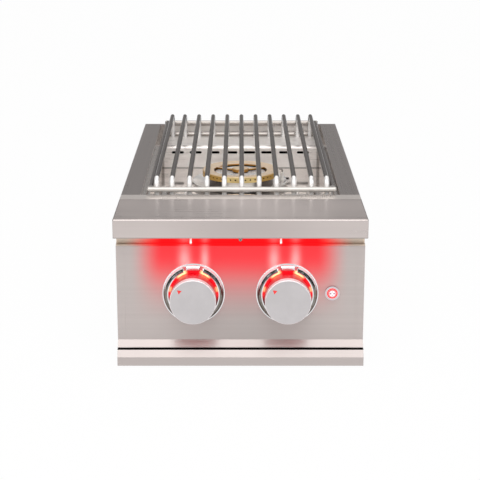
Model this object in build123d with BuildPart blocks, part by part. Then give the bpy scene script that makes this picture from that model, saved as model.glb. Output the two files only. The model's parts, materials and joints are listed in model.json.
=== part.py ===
from build123d import *
import os

os.makedirs("parts", exist_ok=True)

# Overall sizes, in millimetres
hood_width = 330.0
hood_depth = 640.0
sheet = 1.5
knob_overhang = 26.0
inlet_overhang = 12.0
slide_fit = 0.05

# Heights of the front, from the hood top down to the ground
lip_height = 25.4
light_gap = 14.1
panel_height = 129.0
panel_bevel = 8.2
tray_gap = 1.4
tray_bevel = 9.5
tray_face = 11.9
foot_clearance = 0.5

tray_bottom_z = foot_clearance
tray_break_z = tray_bottom_z + tray_face
tray_top_z = tray_break_z + tray_bevel
panel_bottom_z = tray_top_z + tray_gap
panel_break_z = panel_bottom_z + panel_bevel
panel_top_z = panel_break_z + panel_height
lip_bottom_z = panel_top_z + light_gap
hood_z = lip_bottom_z + lip_height
under_z = hood_z - sheet

# Depths, from the lip face back, with the whole object centred on the origin
lip_y = (knob_overhang - hood_depth - inlet_overhang) / 2
hood_rear_y = lip_y + hood_depth
seam_setback = 107.0
seam_gap = 0.6
seam_y = lip_y + seam_setback
bridge_width = 24.0
opening_front_y = seam_y + bridge_width
rear_rim = 12.0
opening_rear_y = hood_rear_y - rear_rim
panel_setback = 14.0
panel_y = lip_y + panel_setback
panel_back_y = panel_y + sheet
rear_panel_inset = 8.0
rear_panel_back_y = hood_rear_y - rear_panel_inset
rear_panel_y = rear_panel_back_y - sheet

# Hood frame and front lip
rim_width = 27.5
opening_width = hood_width - 2 * rim_width
hem_width = 12.0
rear_hem = 6.0
edge_radius = 2.0
hood_middle_y = (seam_y + hood_rear_y) / 2
hood_length = hood_rear_y - seam_y

with BuildPart() as hood_frame:
    with Locations((0, hood_middle_y, hood_z)):
        Box(hood_width, hood_length, lip_height, align=(Align.CENTER, Align.CENTER, Align.MAX))
    top_edges = hood_frame.edges().filter_by(Axis.Y).group_by(Axis.Z)[-1]
    rear_edge = hood_frame.edges().filter_by(Axis.X).group_by(Axis.Z)[-1].sort_by(Axis.Y)[-1]
    fillet(top_edges + [rear_edge], radius=edge_radius)
    with Locations((0, seam_y, under_z)):
        Box(
            hood_width - 2 * sheet,
            2 * (hood_length - sheet),
            2 * lip_height,
            align=(Align.CENTER, Align.CENTER, Align.MAX),
            mode=Mode.SUBTRACT,
        )
    with Locations((0, (opening_front_y + opening_rear_y) / 2, hood_z)):
        Box(opening_width, opening_rear_y - opening_front_y, 4 * sheet, mode=Mode.SUBTRACT)
    with Locations((hood_width / 2, hood_middle_y, lip_bottom_z)):
        Box(hem_width, hood_length, sheet, align=(Align.MAX, Align.CENTER, Align.MIN))
    with Locations((-hood_width / 2, hood_middle_y, lip_bottom_z)):
        Box(hem_width, hood_length, sheet, align=(Align.MIN, Align.CENTER, Align.MIN))
    with Locations((0, hood_rear_y, lip_bottom_z)):
        Box(hood_width, rear_hem, sheet, align=(Align.CENTER, Align.MAX, Align.MIN))
hood_frame.part.label = "hood_frame"
export_step(hood_frame.part, "parts/hood_frame.step")

lip_length = seam_setback - seam_gap

with BuildPart() as front_lip:
    with Locations((0, lip_y, hood_z)):
        Box(hood_width, lip_length, lip_height, align=(Align.CENTER, Align.MIN, Align.MAX))
    fillet(front_lip.edges().filter_by(Axis.Z).group_by(Axis.Y)[0], radius=edge_radius)
    lip_top_edges = front_lip.faces().sort_by(Axis.Z)[-1].edges()
    fillet(lip_top_edges - lip_top_edges.sort_by(Axis.Y)[-1:], radius=edge_radius)
    with Locations((0, lip_y + sheet, under_z)):
        Box(
            hood_width - 2 * sheet,
            2 * lip_length,
            2 * lip_height,
            align=(Align.CENTER, Align.MIN, Align.MAX),
            mode=Mode.SUBTRACT,
        )
front_lip.part.label = "front_lip"
export_step(front_lip.part, "parts/front_lip.step")

# Red light strip inside the lip, recessed rail behind it and two white lamps on the rail
strip_length = 230.0
strip_height = 6.0
strip_depth = 3.0
strip_drop = 15.0
rail_recess = 10.0
rail_y = panel_y + rail_recess
panel_inset = 2.5
panel_width = hood_width - 2 * panel_inset
rail_screw_r = 1.5
rail_screw_length = 6.0
rail_screw_head_r = 2.8
rail_screw_head = 2.0
rail_screw_rise = 6.0
rail_screw_z = panel_top_z + rail_screw_rise
lamp_left_x = -65.0
lamp_right_x = 53.0
lamp_width = 2.6
lamp_height = 9.0
lamp_depth = 3.0

with BuildPart() as light_strip:
    with Locations((0, lip_y + sheet, hood_z - strip_drop)):
        Box(strip_length, strip_depth, strip_height, align=(Align.CENTER, Align.MIN, Align.MAX))
    fillet(light_strip.edges().filter_by(Axis.X).group_by(Axis.Y)[-1], radius=strip_depth / 3)
light_strip.part.label = "light_strip"
export_step(light_strip.part, "parts/light_strip.step")

with BuildPart() as light_rail:
    with Locations((0, rail_y, panel_top_z)):
        Box(panel_width, sheet, under_z - panel_top_z, align=(Align.CENTER, Align.MIN, Align.MIN))
    with Locations((0, rail_y, panel_top_z)):
        Box(panel_width, rail_y - panel_back_y, sheet, align=(Align.CENTER, Align.MAX, Align.MIN))
    with Locations((0, rail_y, rail_screw_z)):
        Cylinder(rail_screw_r, 4 * sheet, rotation=(90, 0, 0), mode=Mode.SUBTRACT)
light_rail.part.label = "light_rail"
export_step(light_rail.part, "parts/light_rail.step")

with BuildPart() as rail_lamps:
    with Locations((lamp_left_x, rail_y, panel_top_z + sheet), (lamp_right_x, rail_y, panel_top_z + sheet)):
        Box(lamp_width, lamp_depth, lamp_height, align=(Align.CENTER, Align.MAX, Align.MIN))
    fillet(rail_lamps.edges().filter_by(Axis.Z).group_by(Axis.Y)[0], radius=lamp_depth / 4)
rail_lamps.part.label = "rail_lamps"
export_step(rail_lamps.part, "parts/rail_lamps.step")

with BuildPart() as rail_screw:
    with Locations((0, rail_y, rail_screw_z)):
        Cylinder(
            rail_screw_head_r,
            rail_screw_head,
            rotation=(90, 0, 0),
            align=(Align.CENTER, Align.CENTER, Align.MIN),
        )
        Cylinder(
            rail_screw_r,
            rail_screw_length,
            rotation=(-90, 0, 0),
            align=(Align.CENTER, Align.CENTER, Align.MIN),
        )
    chamfer(rail_screw.faces().sort_by(Axis.Y)[0].edges(), length=rail_screw_head / 2)
rail_screw.part.label = "rail_screw"
export_step(rail_screw.part, "parts/rail_screw.step")

# Control panel: one folded sheet with a flared lower edge, set out from its right end
knob_r = 30.0
knob_side_gap = 3.0
bezel_band = 8.0
bezel_hole_r = knob_r + knob_side_gap
bezel_r = bezel_hole_r + bezel_band
button_flange_r = 9.7
button_barrel_r = 8.0
button_inset = 41.9
bezel_button_gap = 8.4
button_x = panel_width / 2 - button_inset
knob_offset = button_x - button_flange_r - bezel_button_gap - bezel_r
knob_drop = 64.3
knob_z = panel_top_z - knob_drop
button_z = knob_z
stem_r = 4.0
stem_hole_r = 6.0
panel_top_return = 16.0
panel_side_return = 20.0
panel_line_inset = 11.0
panel_line_width = 0.9
panel_line_depth = 0.4

with BuildPart() as control_panel:
    with BuildSketch(Plane.YZ):
        with BuildLine():
            Polyline(
                (panel_y + panel_top_return, panel_top_z),
                (panel_y, panel_top_z),
                (panel_y, panel_break_z),
                (panel_y - panel_bevel, panel_bottom_z),
                (panel_y - panel_bevel + sheet, panel_bottom_z - sheet / 2),
                (panel_back_y, panel_break_z - sheet / 2),
                (panel_back_y, panel_top_z - sheet),
                (panel_y + panel_top_return, panel_top_z - sheet),
                close=True,
            )
        make_face()
    extrude(amount=panel_width / 2, both=True)
    return_x = panel_width / 2 - sheet / 2
    with Locations((return_x, panel_back_y, panel_top_z), (-return_x, panel_back_y, panel_top_z)):
        Box(sheet, panel_side_return, panel_height, align=(Align.CENTER, Align.MIN, Align.MAX))
    with Locations((-knob_offset, panel_y, knob_z), (knob_offset, panel_y, knob_z)):
        Cylinder(stem_hole_r, 6 * sheet, rotation=(90, 0, 0), mode=Mode.SUBTRACT)
    with Locations((button_x, panel_y, button_z)):
        Cylinder(button_barrel_r, 6 * sheet, rotation=(90, 0, 0), mode=Mode.SUBTRACT)
    line_x = panel_width / 2 - panel_line_inset
    with Locations((line_x, panel_y, panel_top_z), (-line_x, panel_y, panel_top_z)):
        Box(
            panel_line_width,
            2 * panel_line_depth,
            2 * panel_height,
            align=(Align.CENTER, Align.CENTER, Align.CENTER),
            mode=Mode.SUBTRACT,
        )
control_panel.part.label = "control_panel"
export_step(control_panel.part, "parts/control_panel.step")

# Body box: two sides, rear and a brace across the bottom, set clear of the pan
pan_wall_gap = 1.0
pan_side_gap = 3.5
upper_half = opening_width / 2 + pan_wall_gap
inner_half = upper_half + sheet + pan_side_gap
body_width = 2 * (inner_half + sheet)
notch_depth = 26.0
manifold_end_gap = 7.5
manifold_left_x = manifold_end_gap - inner_half
inlet_end_gap = 14.0
inlet_x = manifold_left_x + inlet_end_gap
inlet_z = knob_z
inlet_r = 7.9
inlet_hole_gap = 0.3
screw_r = 2.0
screw_head_r = 4.0
screw_head_height = 2.4
screw_chamfer = 0.8
runner_front = 20.0
runner_rear_gap = 30.5
runner_y = lip_y + runner_front
runner_length = rear_panel_y - runner_rear_gap - runner_y
runner_screw_drop = 2.7
runner_screw_z = panel_bottom_z - runner_screw_drop
runner_screw_places = [runner_y + share * runner_length for share in (0.07, 0.48, 0.9)]
rear_screw_inset = 8.0
rear_screw_x = body_width / 2 - rear_screw_inset
rear_screw_levels = [share * hood_z for share in (0.2, 0.8)]
brace_length = 24.0
brace_height = 9.0

for side, face_x in (("left", -body_width / 2), ("right", body_width / 2 - sheet)):
    with BuildPart() as side_panel:
        with BuildSketch(Plane.YZ.offset(face_x)):
            with BuildLine():
                Polyline(
                    (panel_back_y, 0),
                    (rear_panel_y, 0),
                    (rear_panel_y, under_z),
                    (panel_back_y + notch_depth, under_z),
                    (panel_back_y + notch_depth, panel_top_z - sheet),
                    (panel_back_y, panel_top_z - sheet),
                    close=True,
                )
            make_face()
            for screw_y in runner_screw_places:
                with Locations((screw_y, runner_screw_z)):
                    Circle(screw_r, mode=Mode.SUBTRACT)
        extrude(amount=sheet)
    side_panel.part.label = f"side_panel_{side}"
    export_step(side_panel.part, f"parts/side_panel_{side}.step")

with BuildPart() as rear_panel:
    with Locations((0, rear_panel_y, 0)):
        Box(body_width, sheet, under_z, align=(Align.CENTER, Align.MIN, Align.MIN))
    with Locations((inlet_x, rear_panel_y, inlet_z)):
        Cylinder(inlet_r + inlet_hole_gap, 6 * sheet, rotation=(90, 0, 0), mode=Mode.SUBTRACT)
    for screw_z in rear_screw_levels:
        with Locations((rear_screw_x, rear_panel_y, screw_z), (-rear_screw_x, rear_panel_y, screw_z)):
            Cylinder(screw_r, 6 * sheet, rotation=(90, 0, 0), mode=Mode.SUBTRACT)
rear_panel.part.label = "rear_panel"
export_step(rear_panel.part, "parts/rear_panel.step")

with BuildPart() as bottom_brace:
    with Locations((0, rear_panel_y, 0)):
        Box(2 * inner_half, brace_length, sheet, align=(Align.CENTER, Align.MAX, Align.MIN))
    with Locations((0, rear_panel_y - brace_length, 0)):
        Box(2 * inner_half, sheet, brace_height, align=(Align.CENTER, Align.MIN, Align.MIN))
bottom_brace.part.label = "bottom_brace"
export_step(bottom_brace.part, "parts/bottom_brace.step")

with BuildPart() as rear_screws:
    for screw_z in rear_screw_levels:
        right_spot = (rear_screw_x, rear_panel_back_y, screw_z)
        left_spot = (-rear_screw_x, rear_panel_back_y, screw_z)
        with Locations(right_spot, left_spot):
            Cylinder(
                screw_head_r,
                screw_head_height,
                rotation=(-90, 0, 0),
                align=(Align.CENTER, Align.CENTER, Align.MIN),
            )
            Cylinder(screw_r, 5 * sheet, rotation=(90, 0, 0), align=(Align.CENTER, Align.CENTER, Align.MIN))
    chamfer(rear_screws.edges().filter_by(GeomType.CIRCLE).group_by(Axis.Y)[-1], length=screw_chamfer)
rear_screws.part.label = "rear_screws"
export_step(rear_screws.part, "parts/rear_screws.step")

# Burner pan: a well with side ledges and burner holes
ledge_width = 8.5
well_width = 2 * (upper_half - ledge_width)
well_cover = 10.0
shelf_share = 0.14
ledge_drop = 18.0
pan_drop = 56.0
shelf_radius = 6.0
ledge_z = hood_z - ledge_drop
floor_z = hood_z - pan_drop
well_front_y = opening_front_y - well_cover
well_rear_y = rear_panel_y - shelf_share * hood_depth
well_length = well_rear_y - well_front_y
vent_count = 8
vent_length = 20.0
vent_height = 4.3
vent_margin = 15.5
vent_below_shelf = 11.5
vent_pitch = (well_width - 2 * vent_margin - vent_length) / (vent_count - 1)
cup_r = 52.5
bowl_margin = 4.5
bowl_flat_r = cup_r + bowl_margin
bowl_r = 76.0
front_bowl_gap = 3.0
rear_bowl_gap = 40.0
front_burner_y = well_front_y + front_bowl_gap + bowl_r
rear_burner_y = well_rear_y - rear_bowl_gap - bowl_r
burners = (("front", front_burner_y), ("rear", rear_burner_y))
tube_r = 13.0
tube_wall = 2.0
tube_hole_gap = 0.5
tube_hole_r = tube_r + tube_hole_gap
electrode_x = (bowl_flat_r + bowl_r) / 2
insulator_r = 4.0

with BuildPart() as burner_pan:
    with BuildSketch(Plane.YZ):
        with BuildLine():
            Polyline(
                (well_front_y - sheet, under_z),
                (well_front_y, under_z),
                (well_front_y, floor_z),
                (well_rear_y, floor_z),
                (well_rear_y, floor_z - sheet),
                (well_front_y - sheet, floor_z - sheet),
                close=True,
            )
        make_face()
    extrude(amount=well_width / 2 + sheet, both=True)
    for side_sign in (-1, 1):
        well_edge_x = side_sign * (well_width / 2 + sheet / 2)
        ledge_middle_x = side_sign * (well_width / 2 + upper_half + sheet) / 2
        upper_wall_x = side_sign * (upper_half + sheet / 2)
        pan_middle_y = (well_front_y - sheet + rear_panel_y) / 2
        pan_length = rear_panel_y - well_front_y + sheet
        with Locations((well_edge_x, well_front_y - sheet, floor_z - sheet)):
            Box(
                sheet,
                well_length + 2 * sheet,
                ledge_z - floor_z + sheet,
                align=(Align.CENTER, Align.MIN, Align.MIN),
            )
        with Locations((ledge_middle_x, pan_middle_y, ledge_z)):
            Box(
                upper_half + sheet - well_width / 2,
                pan_length,
                sheet,
                align=(Align.CENTER, Align.CENTER, Align.MAX),
            )
        with Locations((upper_wall_x, pan_middle_y, ledge_z)):
            Box(sheet, pan_length, under_z - ledge_z, align=(Align.CENTER, Align.CENTER, Align.MIN))
    with Locations((0, well_front_y, ledge_z)):
        Box(2 * upper_half, sheet, under_z - ledge_z, align=(Align.CENTER, Align.MAX, Align.MIN))
    with BuildSketch(Plane.XY.offset(floor_z)):
        for place, burner_y in burners:
            with Locations((0, burner_y)):
                Circle(tube_hole_r)
            with Locations((electrode_x, burner_y)):
                Circle(insulator_r)
    extrude(amount=3 * sheet, both=True, mode=Mode.SUBTRACT)
burner_pan.part.label = "burner_pan"
export_step(burner_pan.part, "parts/burner_pan.step")

# Rear shelf: the folded sheet with the vents that closes the well at the back
with BuildPart() as rear_shelf:
    with BuildSketch(Plane.YZ) as shelf_section:
        with BuildLine():
            Polyline(
                (well_rear_y, floor_z - sheet),
                (well_rear_y, ledge_z),
                (rear_panel_y - sheet, ledge_z),
                (rear_panel_y - sheet, under_z),
                (rear_panel_y, under_z),
                (rear_panel_y, ledge_z - sheet),
                (well_rear_y + sheet, ledge_z - sheet),
                (well_rear_y + sheet, floor_z - sheet),
                close=True,
            )
        make_face()
        shelf_edge = shelf_section.vertices().sort_by_distance((well_rear_y, ledge_z, 0))[0]
        fillet(shelf_edge, radius=shelf_radius)
        under_edge = shelf_section.vertices().sort_by_distance((well_rear_y + sheet, ledge_z - sheet, 0))[0]
        fillet(under_edge, radius=shelf_radius - sheet)
    extrude(amount=well_width / 2, both=True)
    with Locations((0, rear_panel_y, ledge_z)):
        Box(2 * upper_half, sheet, under_z - ledge_z, align=(Align.CENTER, Align.MAX, Align.MIN))
    with BuildSketch(Plane((0, well_rear_y, ledge_z - vent_below_shelf), x_dir=(1, 0, 0), z_dir=(0, -1, 0))):
        with GridLocations(vent_pitch, 1, vent_count, 1):
            SlotOverall(vent_length, vent_height)
    extrude(amount=3 * sheet, both=True, mode=Mode.SUBTRACT)
rear_shelf.part.label = "rear_shelf"
export_step(rear_shelf.part, "parts/rear_shelf.step")

# Angle that carries the front feet of the grate
rod_r = 3.5
front_leg_inset = 16.0
front_leg_y = opening_front_y + front_leg_inset
support_margin = 0.5
support_drop = 15.0
support_depth = front_leg_y + rod_r + support_margin - well_front_y

with BuildPart() as grate_support:
    with Locations((0, well_front_y, ledge_z)):
        Box(well_width, support_depth, sheet, align=(Align.CENTER, Align.MIN, Align.MAX))
        Box(well_width, sheet, support_drop, align=(Align.CENTER, Align.MIN, Align.MAX))
grate_support.part.label = "grate_support"
export_step(grate_support.part, "parts/grate_support.step")

# Burners: brass cap with ports, steel cup, inner hat, drip bowl, mixing tube, jet and electrode
ring_r = 60.0
ring_inner_r = 42.0
ring_bevel = 1.2
ring_dish = 1.5
ring_height = 9.2
channel_outer_r = 50.5
channel_inner_r = 45.0
channel_depth = 6.2
hub_r = 13.0
hub_rise = 1.5
hub_bevel = 1.0
spoke_count = 3
spoke_width = 6.0
spoke_thickness = 3.0
spoke_overlap = 2.0
port_count = 48
port_r = 1.25
port_drop = 4.8
cup_wall = 2.0
hat_wall = 1.5
hat_crown_drop = 5.0
hat_base_drop = 13.0
hat_groove = 2.5
hat_gap = 7.3
seat_gap = 0.2
rib_width = 2.0
rib_clearance = 4.0
bowl_rise = 5.7
bowl_hole_gap = 1.0
cup_bottom_z = floor_z + sheet
ring_top_z = cup_bottom_z + cup_wall + hat_gap + hat_wall + hat_base_drop
cup_bottom = cup_bottom_z - ring_top_z
hat_crown_r = ring_inner_r - hat_groove
tube_drop = 136.0
tube_z = hood_z - tube_drop
tube_bend = 24.0
tube_reach = 70.0
jet_radius = 6.5
jet_length = 10.0
jet_nose_r = 3.0
jet_nose_length = 12.0
jet_gap = 14.0
insulator_top = 20.0
insulator_neck = 9.0
insulator_neck_r = 2.5
insulator_below = 16.0
wire_r = 1.0
wire_rise = 4.5
wire_reach = 5.0

for place, burner_y in burners:
    section = Plane((0, burner_y, ring_top_z), x_dir=(1, 0, 0), z_dir=(0, -1, 0))
    burner_axis = Axis((0, burner_y, 0), (0, 0, 1))

    with BuildPart() as burner_cap:
        with BuildSketch(section):
            with BuildLine():
                Polyline(
                    (ring_inner_r, -ring_dish),
                    (ring_r - ring_bevel, 0),
                    (ring_r, -ring_bevel),
                    (ring_r, -ring_height),
                    (channel_outer_r, -ring_height),
                    (channel_outer_r, channel_depth - ring_height),
                    (channel_inner_r, channel_depth - ring_height),
                    (channel_inner_r, -ring_height),
                    (ring_inner_r, -ring_height),
                    close=True,
                )
            make_face()
        revolve(axis=burner_axis)
        with BuildSketch(section):
            with BuildLine():
                Polyline(
                    (0, hub_rise),
                    (hub_r - hub_bevel, hub_rise),
                    (hub_r, hub_rise - hub_bevel),
                    (hub_r, seat_gap - hat_crown_drop),
                    (0, seat_gap - hat_crown_drop),
                    close=True,
                )
            make_face()
        revolve(axis=burner_axis)
        with Locations((0, burner_y, ring_top_z - ring_dish)):
            with PolarLocations((hub_r + ring_inner_r) / 2, spoke_count, start_angle=30):
                Box(
                    ring_inner_r - hub_r + 2 * spoke_overlap,
                    spoke_width,
                    spoke_thickness,
                    align=(Align.CENTER, Align.CENTER, Align.MAX),
                )
        with Locations((0, burner_y, ring_top_z - port_drop)):
            with PolarLocations(ring_r, port_count):
                Cylinder(
                    port_r,
                    2 * (ring_r - channel_outer_r + port_r),
                    rotation=(0, 90, 0),
                    mode=Mode.SUBTRACT,
                )
    burner_cap.part.label = f"burner_cap_{place}"
    export_step(burner_cap.part, f"parts/burner_cap_{place}.step")

    with BuildPart() as burner_cup:
        with BuildSketch(section):
            with BuildLine():
                Polyline(
                    (cup_r - cup_wall, -ring_height),
                    (cup_r, -ring_height),
                    (cup_r, cup_bottom),
                    (tube_r - tube_wall, cup_bottom),
                    (tube_r - tube_wall, cup_bottom + cup_wall),
                    (cup_r - cup_wall, cup_bottom + cup_wall),
                    close=True,
                )
            make_face()
        revolve(axis=burner_axis)
        rib_inner_r = tube_r + rib_clearance
        rib_outer_r = cup_r - cup_wall / 2
        with Locations((0, burner_y, cup_bottom_z + cup_wall / 2)):
            with PolarLocations((rib_inner_r + rib_outer_r) / 2, spoke_count, start_angle=90):
                Box(
                    rib_outer_r - rib_inner_r,
                    rib_width,
                    hat_gap + cup_wall / 2,
                    align=(Align.CENTER, Align.CENTER, Align.MIN),
                )
    burner_cup.part.label = f"burner_cup_{place}"
    export_step(burner_cup.part, f"parts/burner_cup_{place}.step")

    with BuildPart() as burner_hat:
        with BuildSketch(section):
            with BuildLine():
                Polyline(
                    (0, -hat_crown_drop),
                    (hat_crown_r, -hat_crown_drop),
                    (hat_crown_r, -hat_base_drop),
                    (channel_inner_r - hat_wall, -hat_base_drop),
                    (channel_inner_r - hat_wall, -ring_height),
                    (channel_inner_r, -ring_height),
                    (channel_inner_r, -hat_base_drop - hat_wall),
                    (hat_crown_r - hat_wall, -hat_base_drop - hat_wall),
                    (hat_crown_r - hat_wall, -hat_crown_drop - hat_wall),
                    (0, -hat_crown_drop - hat_wall),
                    close=True,
                )
            make_face()
        revolve(axis=burner_axis)
    burner_hat.part.label = f"burner_hat_{place}"
    export_step(burner_hat.part, f"parts/burner_hat_{place}.step")

    with BuildPart() as drip_bowl:
        with BuildSketch(Plane((0, burner_y, floor_z), x_dir=(1, 0, 0), z_dir=(0, -1, 0))):
            with BuildLine():
                Polyline(
                    (tube_hole_r, 0),
                    (bowl_flat_r, 0),
                    (bowl_r, bowl_rise),
                    (bowl_r, bowl_rise + sheet),
                    (bowl_flat_r, sheet),
                    (tube_hole_r, sheet),
                    close=True,
                )
            make_face()
        revolve(axis=burner_axis)
        with Locations((electrode_x, burner_y, floor_z)):
            Cylinder(insulator_r + bowl_hole_gap, 8 * bowl_rise, mode=Mode.SUBTRACT)
    drip_bowl.part.label = f"drip_bowl_{place}"
    export_step(drip_bowl.part, f"parts/drip_bowl_{place}.step")

    with BuildPart() as mixing_tube:
        with BuildLine() as tube_path:
            FilletPolyline(
                (0, burner_y, cup_bottom_z),
                (0, burner_y, tube_z),
                (0, burner_y - tube_reach, tube_z),
                radius=tube_bend,
            )
        with BuildSketch(Plane((0, burner_y, cup_bottom_z), x_dir=(1, 0, 0), z_dir=(0, 0, -1))):
            Circle(tube_r)
            Circle(tube_r - tube_wall, mode=Mode.SUBTRACT)
        sweep()
    mixing_tube.part.label = f"mixing_tube_{place}"
    export_step(mixing_tube.part, f"parts/mixing_tube_{place}.step")

    with BuildPart() as insulator:
        with Locations((electrode_x, burner_y, floor_z - insulator_below)):
            Cylinder(
                insulator_r,
                insulator_below + insulator_top - insulator_neck,
                align=(Align.CENTER, Align.CENTER, Align.MIN),
            )
        chamfer(insulator.faces().sort_by(Axis.Z)[-1].edges(), length=insulator_r / 4)
        with Locations((electrode_x, burner_y, floor_z + insulator_top - insulator_neck)):
            Cylinder(
                insulator_neck_r,
                insulator_neck,
                align=(Align.CENTER, Align.CENTER, Align.MIN),
            )
        fillet(insulator.faces().sort_by(Axis.Z)[-1].edges(), radius=insulator_neck_r / 4)
    insulator.part.label = f"electrode_insulator_{place}"
    export_step(insulator.part, f"parts/electrode_insulator_{place}.step")

    wire_z = floor_z + insulator_top
    with BuildPart() as electrode_wire:
        with BuildLine() as wire_path:
            FilletPolyline(
                (electrode_x, burner_y, wire_z),
                (electrode_x, burner_y, wire_z + wire_rise),
                (electrode_x - wire_reach, burner_y, wire_z + wire_rise),
                radius=2 * wire_r,
            )
        with BuildSketch(Plane.XY.offset(wire_z)):
            with Locations((electrode_x, burner_y)):
                Circle(wire_r)
        sweep()
    electrode_wire.part.label = f"electrode_wire_{place}"
    export_step(electrode_wire.part, f"parts/electrode_wire_{place}.step")

# Gas jets: two brass orifices that face the mixing tubes
with BuildPart() as gas_jets:
    for place, burner_y in burners:
        jet_y = burner_y - tube_reach - jet_gap
        with BuildSketch(Plane((0, jet_y, tube_z), x_dir=(1, 0, 0), z_dir=(0, 1, 0))):
            RegularPolygon(jet_radius, 6)
        extrude(amount=jet_length)
        with Locations((0, jet_y + jet_length, tube_z)):
            Cylinder(
                jet_nose_r,
                jet_nose_length,
                rotation=(-90, 0, 0),
                align=(Align.CENTER, Align.CENTER, Align.MIN),
            )
gas_jets.part.label = "gas_jets"
export_step(gas_jets.part, "parts/gas_jets.step")

# Gas train: manifold, inlet pipe with its fitting, valves and supply tubes
manifold_r = 11.0
manifold_wall = 2.0
manifold_overrun = 38.5
manifold_standoff = 1.0
manifold_right_x = knob_offset + manifold_overrun
joint_overlap = 1.0
neck_r = 12.0
neck_length = 9.0
valve_width = 34.0
valve_length = 36.0
valve_height = 34.0
valve_edge = 4.0
nipple_r = 7.0
outlet_r = 6.0
outlet_length = 3.0
supply_r = 4.0
supply_wall = 1.0
supply_bend = 9.0
supply_offset = 22.0
pipe_r = 6.35
pipe_wall = 1.2
fitting_flange_r = 11.0
fitting_flange = 6.0
fitting_hex_r = 12.0
fitting_hex = 8.0
fitting_bore_r = 5.0
valve_y = panel_back_y + neck_length
valve_back_y = valve_y + valve_length
manifold_y = valve_back_y + manifold_standoff + manifold_r
manifold_middle_x = (manifold_left_x + manifold_right_x) / 2
manifold_length = manifold_right_x - manifold_left_x
collar_r = 7.0
collar_length = 8.0
collar_setback = 12.0
stem_tail = 6.0
push_travel = 3.0
bore_end_gap = 1.0
valve_bore = collar_setback + collar_length + stem_tail + push_travel + bore_end_gap

with BuildPart() as gas_manifold:
    with Locations((manifold_middle_x, manifold_y, knob_z)):
        Cylinder(manifold_r, manifold_length, rotation=(0, 90, 0))
        Cylinder(
            manifold_r - manifold_wall,
            manifold_length - 4 * manifold_wall,
            rotation=(0, 90, 0),
            mode=Mode.SUBTRACT,
        )
gas_manifold.part.label = "gas_manifold"
export_step(gas_manifold.part, "parts/gas_manifold.step")

pipe_end_y = rear_panel_y - fitting_flange

with BuildPart() as inlet_pipe:
    with BuildSketch(Plane((inlet_x, manifold_y, inlet_z), x_dir=(1, 0, 0), z_dir=(0, 1, 0))):
        Circle(pipe_r)
        Circle(pipe_r - pipe_wall, mode=Mode.SUBTRACT)
    extrude(amount=pipe_end_y - manifold_y)
    with Locations((manifold_middle_x, manifold_y, knob_z)):
        Cylinder(manifold_r, 2 * manifold_length, rotation=(0, 90, 0), mode=Mode.SUBTRACT)
inlet_pipe.part.label = "inlet_pipe"
export_step(inlet_pipe.part, "parts/inlet_pipe.step")

inlet_end_y = hood_rear_y + inlet_overhang

with BuildPart() as gas_inlet:
    with BuildSketch(Plane((inlet_x, pipe_end_y, inlet_z), x_dir=(1, 0, 0), z_dir=(0, 1, 0))):
        Circle(fitting_flange_r)
    extrude(amount=fitting_flange)
    with BuildSketch(Plane((inlet_x, rear_panel_back_y, inlet_z), x_dir=(1, 0, 0), z_dir=(0, 1, 0))):
        RegularPolygon(fitting_hex_r, 6)
    extrude(amount=fitting_hex)
    with BuildSketch(Plane((inlet_x, pipe_end_y, inlet_z), x_dir=(1, 0, 0), z_dir=(0, 1, 0))):
        Circle(inlet_r)
    extrude(amount=inlet_end_y - pipe_end_y)
    with BuildSketch(Plane((inlet_x, pipe_end_y, inlet_z), x_dir=(1, 0, 0), z_dir=(0, 1, 0))):
        Circle(fitting_bore_r)
    extrude(amount=inlet_end_y - pipe_end_y, mode=Mode.SUBTRACT)
gas_inlet.part.label = "gas_inlet"
export_step(gas_inlet.part, "parts/gas_inlet.step")

knobs = (
    ("left", -knob_offset, front_burner_y - tube_reach - jet_gap),
    ("right", knob_offset, rear_burner_y - tube_reach - jet_gap),
)

for side, knob_x, supply_end_y in knobs:
    valve_middle_y = valve_y + valve_length / 2
    outlet_z = knob_z - valve_height / 2 - outlet_length

    with BuildPart() as gas_valve:
        with Locations((knob_x, valve_middle_y, knob_z)):
            Box(valve_width, valve_length, valve_height)
        fillet(gas_valve.edges().filter_by(Axis.Y), radius=valve_edge)
        with Locations((knob_x, panel_back_y, knob_z)):
            Cylinder(
                neck_r,
                neck_length + joint_overlap,
                rotation=(-90, 0, 0),
                align=(Align.CENTER, Align.CENTER, Align.MIN),
            )
        with Locations((knob_x, manifold_y, knob_z)):
            Cylinder(
                nipple_r,
                manifold_r + manifold_standoff + joint_overlap,
                rotation=(90, 0, 0),
                align=(Align.CENTER, Align.CENTER, Align.MIN),
            )
        with Locations((knob_x, valve_middle_y, outlet_z)):
            Cylinder(outlet_r, outlet_length + joint_overlap, align=(Align.CENTER, Align.CENTER, Align.MIN))
        with Locations((knob_x, panel_back_y, knob_z)):
            Cylinder(
                collar_r + slide_fit,
                valve_bore,
                rotation=(-90, 0, 0),
                align=(Align.CENTER, Align.CENTER, Align.MIN),
                mode=Mode.SUBTRACT,
            )
        with Locations((manifold_middle_x, manifold_y, knob_z)):
            Cylinder(manifold_r, 2 * manifold_length, rotation=(0, 90, 0), mode=Mode.SUBTRACT)
    gas_valve.part.label = f"gas_valve_{side}"
    export_step(gas_valve.part, f"parts/gas_valve_{side}.step")

    with BuildPart() as supply_tube:
        with BuildLine() as supply_path:
            FilletPolyline(
                (knob_x, valve_middle_y, outlet_z),
                (knob_x, valve_middle_y, tube_z),
                (knob_x, supply_end_y - supply_offset, tube_z),
                (0, supply_end_y - supply_offset, tube_z),
                (0, supply_end_y, tube_z),
                radius=supply_bend,
            )
        with BuildSketch(Plane((knob_x, valve_middle_y, outlet_z), x_dir=(1, 0, 0), z_dir=(0, 0, -1))):
            Circle(supply_r)
            Circle(supply_r - supply_wall, mode=Mode.SUBTRACT)
        sweep()
    supply_tube.part.label = f"supply_tube_{side}"
    export_step(supply_tube.part, f"parts/supply_tube_{side}.step")

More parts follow.
